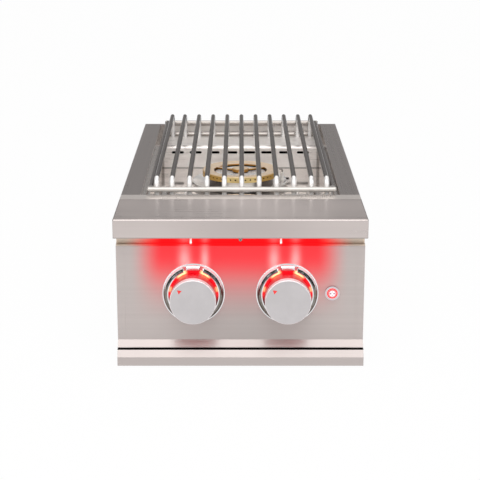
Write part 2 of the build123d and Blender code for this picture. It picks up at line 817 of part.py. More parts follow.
# Knobs with stems, thrust collars, bezels and red halo lenses
knob_wall = 3.0
knob_gap = 6.0
knob_cap = 5.0
knob_edge = 1.5
knob_hub_r = 9.0
knob_bore = 18.0
knob_face_y = lip_y - knob_overhang
bezel_flange = 1.6
bezel_height = 9.0
bezel_step = 1.2
bezel_top = 1.2
halo_thickness = 2.0
halo_hole_r = 14.0
index_gap = 3.5
pad_width = 18.0
pad_lift = 0.6
pad_edge = 1.0
shoulder_r = 5.5
shoulder_length = 3.5

for side, knob_x, supply_end_y in knobs:
    section = Plane((knob_x, panel_y, knob_z), x_dir=(1, 0, 0), z_dir=(0, 0, 1))
    knob_axis = Axis((knob_x, 0, knob_z), (0, 1, 0))
    back = -knob_gap
    face = knob_face_y - panel_y

    with BuildPart() as knob:
        with BuildSketch(section):
            with BuildLine():
                Polyline(
                    (0, face),
                    (knob_r, face),
                    (knob_r, back),
                    (knob_r - knob_wall, back),
                    (knob_r - knob_wall, face + knob_cap),
                    (knob_hub_r, face + knob_cap),
                    (knob_hub_r, back),
                    (stem_r, back),
                    (stem_r, back - knob_bore),
                    (0, back - knob_bore),
                    close=True,
                )
            make_face()
        revolve(axis=knob_axis)
        fillet(knob.edges().filter_by(GeomType.CIRCLE).group_by(Axis.Y)[0], radius=knob_edge)
    knob.part.label = f"knob_{side}"
    export_step(knob.part, f"parts/knob_{side}.step")

    collar_front = sheet + collar_setback
    stem_back = collar_front + collar_length + stem_tail
    with BuildPart() as valve_stem:
        with BuildSketch(section):
            with BuildLine():
                Polyline(
                    (0, back - knob_bore),
                    (stem_r, back - knob_bore),
                    (stem_r, collar_front - shoulder_length),
                    (shoulder_r, collar_front - shoulder_length),
                    (shoulder_r, collar_front),
                    (stem_r, collar_front),
                    (stem_r, stem_back),
                    (0, stem_back),
                    close=True,
                )
            make_face()
        revolve(axis=knob_axis)
    valve_stem.part.label = f"valve_stem_{side}"
    export_step(valve_stem.part, f"parts/valve_stem_{side}.step")

    with BuildPart() as stem_collar:
        with BuildSketch(section):
            with BuildLine():
                Polyline(
                    (stem_r + slide_fit, collar_front),
                    (collar_r, collar_front),
                    (collar_r, collar_front + collar_length),
                    (stem_r + slide_fit, collar_front + collar_length),
                    close=True,
                )
            make_face()
        revolve(axis=knob_axis)
    stem_collar.part.label = f"stem_collar_{side}"
    export_step(stem_collar.part, f"parts/stem_collar_{side}.step")

    with BuildPart() as bezel:
        with BuildSketch(section):
            with BuildLine():
                dome_foot = (bezel_r - bezel_step, -bezel_flange)
                dome_top = (bezel_hole_r + bezel_top, -bezel_height)
                Polyline(
                    dome_top,
                    (bezel_hole_r, -bezel_height),
                    (bezel_hole_r, 0),
                    (bezel_r, 0),
                    (bezel_r, -bezel_flange),
                    dome_foot,
                )
                TangentArc(dome_foot, dome_top, tangent=(0, -1))
            make_face()
        revolve(axis=knob_axis)
        pad_depth = bezel_band - bezel_step
        with Locations((knob_x, panel_y - bezel_flange, knob_z + bezel_hole_r)):
            Box(
                pad_width + 2 * index_gap,
                bezel_height,
                2 * pad_depth,
                align=(Align.CENTER, Align.MAX, Align.CENTER),
                mode=Mode.SUBTRACT,
            )
        with BuildSketch(Plane((knob_x, panel_y, knob_z), x_dir=(1, 0, 0), z_dir=(0, -1, 0))):
            Circle(bezel_r - bezel_step)
            Circle(bezel_hole_r, mode=Mode.SUBTRACT)
            with Locations((0, bezel_r)):
                Rectangle(pad_width, 2 * bezel_band, mode=Mode.INTERSECT)
        extrude(amount=bezel_height + pad_lift)
        chamfer(bezel.faces().sort_by(Axis.Y)[0].edges(), length=pad_edge)
    bezel.part.label = f"bezel_{side}"
    export_step(bezel.part, f"parts/bezel_{side}.step")

    with BuildPart() as halo_lens:
        with BuildSketch(Plane((knob_x, panel_y, knob_z), x_dir=(1, 0, 0), z_dir=(0, -1, 0))):
            Circle(bezel_hole_r)
            Circle(halo_hole_r, mode=Mode.SUBTRACT)
        extrude(amount=halo_thickness)
    halo_lens.part.label = f"halo_lens_{side}"
    export_step(halo_lens.part, f"parts/halo_lens_{side}.step")

# Light button with its ring, housing and nut
button_flange = 1.8
button_barrel = 18.0
button_cap_r = 5.0
button_cap_edge = 0.5
button_bore_r = button_cap_r + slide_fit
button_proud = 0.8
button_depth = 12.0
button_bore = 15.0
ring_light_outer_r = 6.85
ring_light_inner_r = 5.6
ring_light_depth = 1.0
nut_r = 12.0
nut_length = 4.0
button_section = Plane((button_x, panel_y, button_z), x_dir=(1, 0, 0), z_dir=(0, 0, 1))
button_axis = Axis((button_x, 0, button_z), (0, 1, 0))

with BuildPart() as button_housing:
    with BuildSketch(button_section):
        with BuildLine():
            Polyline(
                (button_bore_r, -button_flange),
                (ring_light_inner_r, -button_flange),
                (ring_light_inner_r, ring_light_depth - button_flange),
                (ring_light_outer_r, ring_light_depth - button_flange),
                (ring_light_outer_r, -button_flange),
                (button_flange_r, -button_flange),
                (button_flange_r, 0),
                (button_barrel_r, 0),
                (button_barrel_r, button_barrel),
                (0, button_barrel),
                (0, button_bore),
                (button_bore_r, button_bore),
                close=True,
            )
        make_face()
    revolve(axis=button_axis)
button_housing.part.label = "button_housing"
export_step(button_housing.part, "parts/button_housing.step")

with BuildPart() as button_ring:
    with BuildSketch(Plane((button_x, panel_y - button_flange, button_z), x_dir=(1, 0, 0), z_dir=(0, 1, 0))):
        Circle(ring_light_outer_r)
        Circle(ring_light_inner_r, mode=Mode.SUBTRACT)
    extrude(amount=ring_light_depth)
button_ring.part.label = "button_ring"
export_step(button_ring.part, "parts/button_ring.step")

with BuildPart() as button_nut:
    with BuildSketch(Plane((button_x, panel_back_y, button_z), x_dir=(1, 0, 0), z_dir=(0, 1, 0))):
        RegularPolygon(nut_r, 6)
        Circle(button_barrel_r, mode=Mode.SUBTRACT)
    extrude(amount=nut_length)
button_nut.part.label = "button_nut"
export_step(button_nut.part, "parts/button_nut.step")

with BuildPart() as button_cap:
    with Locations((button_x, panel_y - button_flange - button_proud, button_z)):
        Cylinder(
            button_cap_r,
            button_depth,
            rotation=(-90, 0, 0),
            align=(Align.CENTER, Align.CENTER, Align.MIN),
        )
    fillet(button_cap.faces().sort_by(Axis.Y)[0].edges(), radius=button_cap_edge)
button_cap.part.label = "button_cap"
export_step(button_cap.part, "parts/button_cap.step")

# Drip tray on two runners, with a bevelled front
tray_rim_drop = 3.9
tray_depth = 14.5
tray_sheet = 1.2
tray_rim = 7.5
tray_side_gap = 2.5
tray_rear_gap = 71.5
tray_width = 2 * (inner_half - sheet - tray_side_gap - tray_rim)
tray_y = panel_y
tray_length = rear_panel_y - tray_rear_gap - tray_y
tray_rim_z = tray_top_z - tray_rim_drop
runner_reach = 9.0
runner_play = 1.0
tray_step = 3.2
tray_bevel_depth = 5.2
tray_front_y = panel_y - panel_bevel - tray_step
tray_hem = 9.0

with BuildPart() as drip_tray:
    with Locations((0, tray_y, tray_rim_z)):
        Box(tray_width, tray_length, tray_depth, align=(Align.CENTER, Align.MIN, Align.MAX))
    with Locations((0, tray_y + tray_sheet, tray_rim_z)):
        Box(
            tray_width - 2 * tray_sheet,
            tray_length - 2 * tray_sheet,
            2 * (tray_depth - tray_sheet),
            align=(Align.CENTER, Align.MIN, Align.CENTER),
            mode=Mode.SUBTRACT,
        )
    for side_sign in (-1, 1):
        with Locations((side_sign * (tray_width / 2 + tray_rim / 2), tray_y + runner_front, tray_rim_z)):
            Box(
                tray_rim,
                tray_length - runner_front,
                tray_sheet,
                align=(Align.CENTER, Align.MIN, Align.MAX),
            )
drip_tray.part.label = "drip_tray"
export_step(drip_tray.part, "parts/drip_tray.step")

with BuildPart() as tray_front:
    with BuildSketch(Plane.YZ):
        with BuildLine():
            Polyline(
                (tray_y, tray_top_z),
                (tray_front_y, tray_top_z),
                (tray_front_y - tray_bevel_depth, tray_break_z),
                (tray_front_y - tray_bevel_depth, tray_bottom_z),
                (tray_y, tray_bottom_z),
                close=True,
            )
        make_face()
    extrude(amount=panel_width / 2, both=True)
    with BuildSketch(Plane.YZ):
        with BuildLine():
            Polyline(
                (tray_y, tray_top_z - tray_hem),
                (tray_y - sheet, tray_top_z - tray_hem),
                (tray_y - sheet, tray_top_z - sheet),
                (tray_front_y + sheet / 2, tray_top_z - sheet),
                (tray_front_y - tray_bevel_depth + sheet, tray_break_z - sheet / 2),
                (tray_front_y - tray_bevel_depth + sheet, tray_bottom_z + sheet),
                (tray_y, tray_bottom_z + sheet),
                close=True,
            )
        make_face()
    extrude(amount=panel_width / 2 - sheet, both=True, mode=Mode.SUBTRACT)
tray_front.part.label = "tray_front"
export_step(tray_front.part, "parts/tray_front.step")

flange_under_z = tray_rim_z - tray_sheet
runner_top_z = tray_rim_z + runner_play + sheet

for side, side_sign in (("left", -1), ("right", 1)):
    with BuildPart() as tray_runner:
        web_x = side_sign * (inner_half - sheet / 2)
        with Locations((web_x, runner_y, flange_under_z - sheet)):
            Box(
                sheet,
                runner_length,
                runner_top_z - flange_under_z + sheet,
                align=(Align.CENTER, Align.MIN, Align.MIN),
            )
        leg_x = side_sign * (inner_half - runner_reach / 2)
        with Locations((leg_x, runner_y, flange_under_z), (leg_x, runner_y, runner_top_z)):
            Box(
                runner_reach,
                runner_length,
                sheet,
                align=(Align.CENTER, Align.MIN, Align.MAX),
            )
        with Locations((web_x, runner_y, runner_top_z)):
            Box(
                sheet,
                runner_length,
                runner_screw_z + screw_head_r - runner_top_z,
                align=(Align.CENTER, Align.MIN, Align.MIN),
            )
        for screw_y in runner_screw_places:
            with Locations((side_sign * inner_half, screw_y, runner_screw_z)):
                Cylinder(screw_r, 6 * sheet, rotation=(0, 90, 0), mode=Mode.SUBTRACT)
    tray_runner.part.label = f"tray_runner_{side}"
    export_step(tray_runner.part, f"parts/tray_runner_{side}.step")

with BuildPart() as runner_screws:
    for side_sign in (-1, 1):
        for screw_y in runner_screw_places:
            with Locations((side_sign * body_width / 2, screw_y, runner_screw_z)):
                Cylinder(
                    screw_head_r,
                    screw_head_height,
                    rotation=(0, 90 * side_sign, 0),
                    align=(Align.CENTER, Align.CENTER, Align.MIN),
                )
                Cylinder(
                    screw_r,
                    4 * sheet,
                    rotation=(0, -90 * side_sign, 0),
                    align=(Align.CENTER, Align.CENTER, Align.MIN),
                )
    head_edges = runner_screws.edges().filter_by(GeomType.CIRCLE).group_by(Axis.X)
    chamfer(head_edges[0] + head_edges[-1], length=screw_chamfer)
runner_screws.part.label = "runner_screws"
export_step(runner_screws.part, "parts/runner_screws.step")

# Lift-off grate: eleven bent bars welded to cross rods and side rods, lying a little to the right
bar_top = 22.3
inner_bars = 9
outer_bar_inset = 8.4
outer_bar_gap = 21.2
bar_bend = 6.5
rear_leg_inset = 12.8
weld_bite = 0.4
upper_rail_rise = 5.5
foot_gap = 0.4
grate_gap = 6.5
grate_shift = 1.8
rail_taper = 1.5
grate_width = opening_width - 2 * grate_gap
side_rod_x = grate_width / 2 - rail_taper - rod_r
bar_z = hood_z + bar_top - rod_r
rear_leg_y = opening_rear_y - rear_leg_inset
front_rail_y = front_leg_y - 2 * rod_r + weld_bite
rear_rail_y = rear_leg_y + 2 * rod_r - weld_bite
upper_rail_z = hood_z + upper_rail_rise
lower_rail_z = ledge_z + rod_r + foot_gap
outer_bar_x = side_rod_x - outer_bar_inset
inner_edge_x = outer_bar_x - outer_bar_gap
bar_pitch = 2 * inner_edge_x / (inner_bars - 1)
inner_places = [grate_shift + bar_pitch * step - inner_edge_x for step in range(inner_bars)]
bar_places = [grate_shift - outer_bar_x] + inner_places + [grate_shift + outer_bar_x]
front_rails = ((grate_shift, front_rail_y, upper_rail_z), (grate_shift, front_rail_y, lower_rail_z))
rear_rails = ((grate_shift, rear_rail_y, upper_rail_z), (grate_shift, rear_rail_y, lower_rail_z))

with BuildPart() as grate_bars:
    for bar_x in bar_places:
        with BuildLine() as bar_path:
            FilletPolyline(
                (bar_x, front_leg_y, ledge_z),
                (bar_x, front_leg_y, bar_z),
                (bar_x, rear_leg_y, bar_z),
                (bar_x, rear_leg_y, ledge_z),
                radius=bar_bend,
            )
        with BuildSketch(Plane.XY.offset(ledge_z)):
            with Locations((bar_x, front_leg_y)):
                Circle(rod_r)
        sweep()
    with Locations(*front_rails, *rear_rails):
        Cylinder(rod_r, grate_width, rotation=(0, 90, 0), mode=Mode.SUBTRACT)
grate_bars.part.label = "grate_bars"
export_step(grate_bars.part, "parts/grate_bars.step")

with BuildPart() as grate_front_rods:
    with Locations(*front_rails):
        Cylinder(rod_r, grate_width, rotation=(0, 90, 0))
    chamfer(grate_front_rods.edges().filter_by(GeomType.CIRCLE), length=rail_taper)
grate_front_rods.part.label = "grate_front_rods"
export_step(grate_front_rods.part, "parts/grate_front_rods.step")

with BuildPart() as grate_rear_rods:
    with Locations(*rear_rails):
        Cylinder(rod_r, grate_width, rotation=(0, 90, 0))
    chamfer(grate_rear_rods.edges().filter_by(GeomType.CIRCLE), length=rail_taper)
grate_rear_rods.part.label = "grate_rear_rods"
export_step(grate_rear_rods.part, "parts/grate_rear_rods.step")

with BuildPart() as grate_side_rods:
    side_places = (grate_shift - side_rod_x, grate_shift + side_rod_x)
    with Locations(*[(side_x, front_rail_y, upper_rail_z) for side_x in side_places]):
        Cylinder(
            rod_r,
            rear_rail_y - front_rail_y,
            rotation=(-90, 0, 0),
            align=(Align.CENTER, Align.CENTER, Align.MIN),
        )
    with Locations(front_rails[0], rear_rails[0]):
        Cylinder(rod_r, grate_width, rotation=(0, 90, 0), mode=Mode.SUBTRACT)
grate_side_rods.part.label = "grate_side_rods"
export_step(grate_side_rods.part, "parts/grate_side_rods.step")
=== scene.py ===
import json
import logging
import math
from dataclasses import dataclass
from enum import Enum
from typing import Any, Dict, List, Optional, Sequence, Tuple, Union

import bmesh
import bpy
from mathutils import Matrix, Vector


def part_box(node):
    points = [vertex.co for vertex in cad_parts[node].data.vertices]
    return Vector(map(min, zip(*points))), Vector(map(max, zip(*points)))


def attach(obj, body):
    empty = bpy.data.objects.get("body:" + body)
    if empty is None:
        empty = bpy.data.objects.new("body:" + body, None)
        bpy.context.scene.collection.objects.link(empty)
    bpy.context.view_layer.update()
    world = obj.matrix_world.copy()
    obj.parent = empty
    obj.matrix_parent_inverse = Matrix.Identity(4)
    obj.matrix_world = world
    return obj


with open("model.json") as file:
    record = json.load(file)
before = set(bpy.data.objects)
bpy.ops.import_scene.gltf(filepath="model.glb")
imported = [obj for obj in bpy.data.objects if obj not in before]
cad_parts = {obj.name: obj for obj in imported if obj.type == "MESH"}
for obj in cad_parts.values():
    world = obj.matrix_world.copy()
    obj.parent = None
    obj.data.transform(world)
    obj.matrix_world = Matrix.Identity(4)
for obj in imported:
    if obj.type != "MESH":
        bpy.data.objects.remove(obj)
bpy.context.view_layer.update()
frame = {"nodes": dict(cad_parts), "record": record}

LOG = logging.getLogger("double_side_burner")
MM = 0.001

Colour = Tuple[float, float, float]
Point = Tuple[float, float, float]
Pair = Tuple[float, float]
Mesh = bmesh.types.BMesh
Node = bpy.types.Node
Socket = bpy.types.NodeSocket
Input = Union[float, Sequence[float], Socket]


def srgb(red: float, green: float, blue: float) -> Colour:
    """Turn a colour as it looks on a screen into linear light.

    Args:
        red: Red, from 0 to 255.
        green: Green, from 0 to 255.
        blue: Blue, from 0 to 255.

    Returns:
        The same colour in linear light, from 0 to 1.
    """
    parts = []
    for value in (red, green, blue):
        share = value / 255.0
        parts.append(share / 12.92 if share <= 0.04045 else ((share + 0.055) / 1.055) ** 2.4)
    return parts[0], parts[1], parts[2]


def scaled(colour: Colour, factor: float) -> Colour:
    """Return the colour made lighter or darker by a factor."""
    return tuple(min(1.0, part * factor) for part in colour)


def rgba(colour: Colour) -> Tuple[float, float, float, float]:
    """Return the colour with a full alpha."""
    return colour[0], colour[1], colour[2], 1.0


BLACK: Colour = (0.0, 0.0, 0.0)
WHITE: Colour = (1.0, 1.0, 1.0)
# Painted shade: the dark colour laid on faces inside the body, in the gap behind the drip tray's top and in
# the crease at the shelf's foot.
PAINTED_SHADE_DARK = srgb(14, 12, 11)
FORWARD: Point = (0.0, 1.0, 0.0)
FINE_BUMP = 0.02 * MM
LEAST_ROUGHNESS = 0.02


class Grain(Enum):
    """Way the brushed grain of a sheet runs, as the stretch of its noise along X, Y and Z."""

    ACROSS = (3.0, 900.0, 900.0)
    BACK = (900.0, 3.0, 900.0)


class Side(Enum):
    """Side of the panel, as the nodes' names have it."""

    LEFT = "left"
    RIGHT = "right"


class Graph:
    """A shader node tree with short calls that add nodes and wire them."""

    def __init__(self, tree: bpy.types.NodeTree, end: Node, start: Optional[Node] = None) -> None:
        """Keep the tree, the node that it ends in and, in a group, the one that it starts from."""
        self.tree, self.end, self.start = tree, end, start

    def join(self, socket: Socket, value: Input) -> None:
        """Link a socket to another one, or set its value.

        Args:
            socket: The input.
            value: Another socket, or a number, a vector or a colour.
        """
        if isinstance(value, Socket):
            self.tree.links.new(value, socket)
        elif socket.type == "RGBA":
            socket.default_value = rgba(value)
        else:
            socket.default_value = value

    def give(self, **values: Input) -> None:
        """Join inputs of the end node, each by its name with _ for a space."""
        for key, value in values.items():
            self.join(self.end.inputs[key.replace("_", " ")], value)

    def given(self, name: str) -> Socket:
        """Return what the group is given under a name."""
        return self.start.outputs[name]

    def so_far(self, name: str) -> Socket:
        """Return what already feeds an input of the end node."""
        return self.end.inputs[name].links[0].from_socket

    def add(self, kind: str, inputs: Optional[Dict[Union[str, int], Input]] = None, **settings: Any) -> Node:
        """Add one shader node.

        Args:
            kind: Node type, without the leading ShaderNode.
            inputs: Values or sockets for its inputs, by name or place.
            **settings: Settings of the node itself.

        Returns:
            The new node.
        """
        node = self.tree.nodes.new("ShaderNode" + kind)
        for key, value in settings.items():
            setattr(node, key, value)
        for key, value in (inputs or {}).items():
            self.join(node.inputs[key], value)
        return node

    def math(self, operation: str, *values: Input) -> Socket:
        """Work out one sum on numbers.

        Args:
            operation: Name of the sum.
            *values: The numbers that it takes.

        Returns:
            The result.
        """
        node = self.add("Math", operation=operation)
        for socket, value in zip(node.inputs, values):
            self.join(socket, value)
        return node.outputs[0]

    def times(self, *values: Input) -> Socket:
        """Multiply two or more numbers.

        Args:
            *values: The numbers.

        Returns:
            Their product.
        """
        product = values[0]
        for value in values[1:]:
            product = self.math("MULTIPLY", product, value)
        return product

    def inverse(self, mask: Input) -> Socket:
        """Return one less a mask."""
        return self.math("SUBTRACT", 1.0, mask)

    def away(self, value: Input, middle: float) -> Socket:
        """Return how far a number is from a middle."""
        return self.math("ABSOLUTE", self.math("SUBTRACT", value, middle))

    def share(self, first: Input, second: Input, part: float) -> Socket:
        """Return a part of the first number and the rest of the second."""
        return self.math("MULTIPLY_ADD", first, part, self.math("MULTIPLY", second, 1.0 - part))

    def vector(self, operation: str, first: Input, second: Input = (0.0, 0.0, 0.0)) -> Socket:
        """Return the result of one sum on vectors, a number where the sum gives one."""
        outputs = self.add("VectorMath", {0: first, 1: second}, operation=operation).outputs
        return outputs["Value" if operation in ("LENGTH", "DOT_PRODUCT") else "Vector"]

    def blend(self, factor: Input, first: Input, second: Input) -> Socket:
        """Return a colour that goes from the first to the second by the factor."""
        return self.add("Mix", {0: factor, 6: first, 7: second}, data_type="RGBA").outputs[2]

    def tones(self, mask: Input, colour: Colour, low: float, high: float) -> Socket:
        """Return a colour that goes from a darker to a lighter tone of itself by a mask."""
        return self.blend(mask, scaled(colour, low), scaled(colour, high))

    def ramp(
        self, value: Input, low: Input, high: Input, start: float = 0.0, end: float = 1.0, smooth: bool = True
    ) -> Socket:
        """Carry a number from one range to another.

        Args:
            value: The number.
            low: Where the first range begins.
            high: Where it ends.
            start: Result at its beginning.
            end: Result at its end.
            smooth: Whether the way between them eases in and out.

        Returns:
            The result, kept between start and end.
        """
        kind = "SMOOTHSTEP" if smooth else "LINEAR"
        inputs = {"Value": value, "From Min": low, "From Max": high, "To Min": start, "To Max": end}
        return self.add("MapRange", inputs, interpolation_type=kind).outputs["Result"]

    def step(self, value: Input, level: float, soft: float, start: float = 0.0, end: float = 1.0) -> Socket:
        """Return a number that goes from start to end as value passes a level, within a soft edge."""
        return self.ramp(value, level - soft, level + soft, start, end)

    def between(self, mask: Input, start: float, end: float) -> Socket:
        """Return a number that goes evenly from start to end by a mask."""
        return self.ramp(mask, 0.0, 1.0, start, end, False)

    def split(self, vector: Input) -> Tuple[Socket, Socket, Socket]:
        """Return the X, Y and Z of a vector."""
        outputs = self.add("SeparateXYZ", {0: vector}).outputs
        return outputs["X"], outputs["Y"], outputs["Z"]

    def place(self) -> Socket:
        """Return the place on the object, in metres in the object's own frame."""
        return self.add("TexCoord").outputs["Object"]

    def noise(self, scale: Input, detail: float) -> Socket:
        """Return a noise over the object."""
        inputs = {"Vector": self.place(), "Scale": scale, "Detail": detail}
        return self.add("TexNoise", inputs).outputs["Fac"]

    def bump(self, height: Input, distance: float, strength: float) -> None:
        """Give the end node a bump from a height."""
        inputs = {"Height": height, "Distance": distance, "Strength": strength}
        self.give(Normal=self.add("Bump", inputs).outputs["Normal"])

    def shine(self, colour: Socket, strength: float) -> None:
        """Give the end node a colour that also gives out light."""
        self.give(Base_Color=colour, Emission_Color=colour, Emission_Strength=strength)


class EffectGroup:
    """A shared effect, kept as one shader node group with named sockets."""

    name: str = ""
    inputs: Dict[str, Tuple[str, Input]] = {}
    outputs: Tuple[str, ...] = ()

    def wire(self, graph: Graph) -> None:
        """Wire the inside of the group, from its inputs to its outputs."""
        raise NotImplementedError

    def tree(self) -> bpy.types.NodeTree:
        """Find the group's tree, or make it the first time it is asked for.

        Returns:
            The tree.
        """
        known = bpy.data.node_groups.get(self.name)
        if known is not None:
            return known
        tree = bpy.data.node_groups.new(self.name, "ShaderNodeTree")
        for label, (kind, value) in self.inputs.items():
            socket = tree.interface.new_socket(label, in_out="INPUT", socket_type="NodeSocket" + kind)
            socket.default_value = value
        for label in self.outputs:
            tree.interface.new_socket(label, in_out="OUTPUT", socket_type="NodeSocketFloat")
        start = tree.nodes.new("NodeGroupInput")
        self.wire(Graph(tree, tree.nodes.new("NodeGroupOutput"), start))
        return tree

    def put(self, graph: Graph, **values: Input) -> Dict[str, Socket]:
        """Place the group in a material.

        Args:
            graph: The material's tree.
            **values: Values of the group's inputs, with _ for each space in a name.

        Returns:
            The group's outputs by name.
        """
        inputs = {key.replace("_", " "): value for key, value in values.items()}
        node = graph.add("Group", inputs, node_tree=self.tree())
        return {socket.name: socket for socket in node.outputs}


class BrushedGrain(EffectGroup):
    """Fine parallel scratches of brushed sheet, with broader bands among them."""

    name = "brushed_grain"
    inputs = {"Stretch": ("Vector", Grain.ACROSS.value)}
    outputs = ("Tone", "Height")
    broad_scale = 0.16
    broad_part = 0.6
    limits: Pair = (0.3, 0.7)

    def wire(self, graph: Graph) -> None:
        """Add two stretched noises, one fine and one broad.

        Args:
            graph: The group's tree.
        """
        along = graph.vector("MULTIPLY", graph.place(), graph.given("Stretch"))
        inputs = {"Vector": along, "Scale": 1.0, "Detail": 3.0, "Roughness": 0.65}
        fine = graph.add("TexNoise", inputs).outputs["Fac"]
        inputs = {"Vector": along, "Scale": self.broad_scale, "Detail": 2.0}
        broad = graph.add("TexNoise", inputs).outputs["Fac"]
        tone = graph.ramp(graph.share(broad, fine, self.broad_part), *self.limits)
        graph.give(Tone=tone, Height=fine)


class Smudge(EffectGroup):
    """Broad soft patches, as handling and cleaning leave on metal."""

    name = "smudge"
    inputs = {"Size": ("Float", 14.0)}
    outputs = ("Mask",)
    limits: Pair = (0.32, 0.68)

    def wire(self, graph: Graph) -> None:
        """Add one soft noise.

        Args:
            graph: The group's tree.
        """
        inputs = {"Vector": graph.place(), "Scale": graph.given("Size"), "Detail": 4.0, "Roughness": 0.6}
        cloud = graph.add("TexNoise", inputs).outputs["Fac"]
        graph.give(Mask=graph.ramp(cloud, *self.limits))


class TurnedRings(EffectGroup):
    """Fine rings that a lathe leaves round an axis."""

    name = "turned_rings"
    inputs = {
        "Centre": ("Vector", (0.0, 0.0, 0.0)),
        "Axis": ("Vector", (0.0, 0.0, 1.0)),
        "Count": ("Float", 1400.0),
    }
    outputs = ("Tone", "Radius")
    limits: Pair = (0.3, 0.7)

    def wire(self, graph: Graph) -> None:
        """Take the distance from the axis, and a noise along it.

        Args:
            graph: The group's tree.
        """
        offset = graph.vector("SUBTRACT", graph.place(), graph.given("Centre"))
        arm = graph.vector("CROSS_PRODUCT", offset, graph.given("Axis"))
        radius = graph.vector("LENGTH", arm)
        inputs = {"W": graph.times(radius, graph.given("Count")), "Scale": 1.0, "Detail": 2.0}
        rings = graph.add("TexNoise", inputs, noise_dimensions="1D").outputs["Fac"]
        graph.give(Tone=graph.ramp(rings, *self.limits), Radius=radius)


class StripGlow(EffectGroup):
    """Red light that the strip in the lip throws down on the steel below it, painted on, and pale streaks of
    painted reflection of the bezels.
    """

    name = "strip_glow"
    inputs = {
        "Full Half": ("Float", 0.1),
        "End Half": ("Float", 0.145),
        "Top": ("Float", 0.1605),
        "Fall": ("Float", 0.0517),
    }
    outputs = ("Red", "Streak")
    middle = -0.0015
    power = 3.2
    least = 0.1
    streaks: Tuple[Pair, ...] = ((-0.073, 0.0072), (-0.0465, 0.005), (0.044, 0.0065), (0.072, 0.006))
    climb: Tuple[float, ...] = (0.0, 0.022, 0.4, 1.0)
    fade: Tuple[float, ...] = (0.026, 0.05, 1.0, 0.0)

    def wire(self, graph: Graph) -> None:
        """Fade the red to the ends and downwards, and add a soft line for each streak.

        Args:
            graph: The group's tree.
        """
        across, _, up = graph.split(graph.place())
        reach = graph.away(across, self.middle)
        side = graph.ramp(reach, graph.given("Full Half"), graph.given("End Half"), 1.0, 0.0)
        drop = graph.math("MAXIMUM", graph.math("SUBTRACT", graph.given("Top"), up), 0.0)
        share = graph.math("POWER", graph.math("DIVIDE", drop, graph.given("Fall")), self.power)
        light = graph.math("DIVIDE", 1.0, graph.math("ADD", share, 1.0))
        fall = graph.ramp(light, self.least, 1.0, smooth=False)
        total: Input = 0.0
        for middle, width in self.streaks:
            away = graph.math("DIVIDE", graph.math("SUBTRACT", across, middle), width)
            line = graph.math("EXPONENT", graph.times(away, away, -1.0))
            total = graph.math("ADD", line, total)
        streak = graph.times(total, graph.ramp(drop, *self.climb), graph.ramp(drop, *self.fade))
        graph.give(Red=graph.times(side, fall), Streak=graph.math("MINIMUM", streak, 1.0))


class SheenBand(EffectGroup):
    """Painted reflection: a broad tone across a sheet, lighter to its ends."""

    name = "sheen_band"
    inputs = {"Reach": ("Float", 0.13)}
    outputs = ("Mask",)
    middle = 0.012

    def wire(self, graph: Graph) -> None:
        """Rise from the middle of the sheet to its ends."""
        reach = graph.away(graph.split(graph.place())[0], self.middle)
        graph.give(Mask=graph.ramp(reach, 0.0, graph.given("Reach")))


class Facing(EffectGroup):
    """How far a surface faces the front, upwards or to either side, on the object itself."""

    name = "facing"
    outputs = ("Front", "Up", "Side")

    def wire(self, graph: Graph) -> None:
        """Split the surface's own normal."""
        across, back, up = graph.split(graph.add("TexCoord").outputs["Normal"])
        graph.give(Front=graph.times(back, -1.0), Up=up, Side=graph.math("ABSOLUTE", across))


class InnerShade(EffectGroup):
    """Mask of the faces inside the body, between two depths, under a height and within a half width."""

    name = "inner_shade"
    inputs = {
        "Front": ("Float", -0.2975),
        "Rear": ("Float", 0.3183),
        "Half": ("Float", 0.1443),
        "Top": ("Float", 0.3),
    }
    outputs = ("Mask",)

    def wire(self, graph: Graph) -> None:
        """Multiply one step for each limit.

        Args:
            graph: The group's tree.
        """
        across, back, up = graph.split(graph.place())
        behind = graph.math("GREATER_THAN", back, graph.given("Front"))
        before = graph.math("LESS_THAN", back, graph.given("Rear"))
        within = graph.math("LESS_THAN", graph.math("ABSOLUTE", across), graph.given("Half"))
        under = graph.math("LESS_THAN", up, graph.given("Top"))
        graph.give(Mask=graph.times(behind, before, within, under))


GRAIN = BrushedGrain()
SMUDGE = Smudge()
RINGS = TurnedRings()
GLOW = StripGlow()
SHEEN = SheenBand()
FACING = Facing()
INNER = InnerShade()


@dataclass(frozen=True)
class Finish:
    """A finish: a name, a colour, a roughness and how metallic it is."""

    name: str
    colour: Colour
    roughness: float = 0.3
    metallic: float = 1.0

    def rough(self, graph: Graph, mask: Input, spread: float) -> Socket:
        """Return a roughness that wanders by a spread round the finish's own."""
        return graph.between(mask, max(LEAST_ROUGHNESS, self.roughness - spread), self.roughness + spread)

    def paint(self, graph: Graph) -> None:
        """Wire the finish's own detail."""
        raise NotImplementedError

    def make(self) -> bpy.types.Material:
        """Find the finish's material, or make it the first time it is asked for.

        Returns:
            The material.
        """
        material = bpy.data.materials.get(self.name)
        if material is None:
            material = bpy.data.materials.new(self.name)
            material.use_nodes = True
            material.diffuse_color = rgba(self.colour)
            graph = Graph(material.node_tree, material.node_tree.nodes["Principled BSDF"])
            graph.give(Base_Color=self.colour, Roughness=self.roughness, Metallic=self.metallic)
            self.paint(graph)
        return material


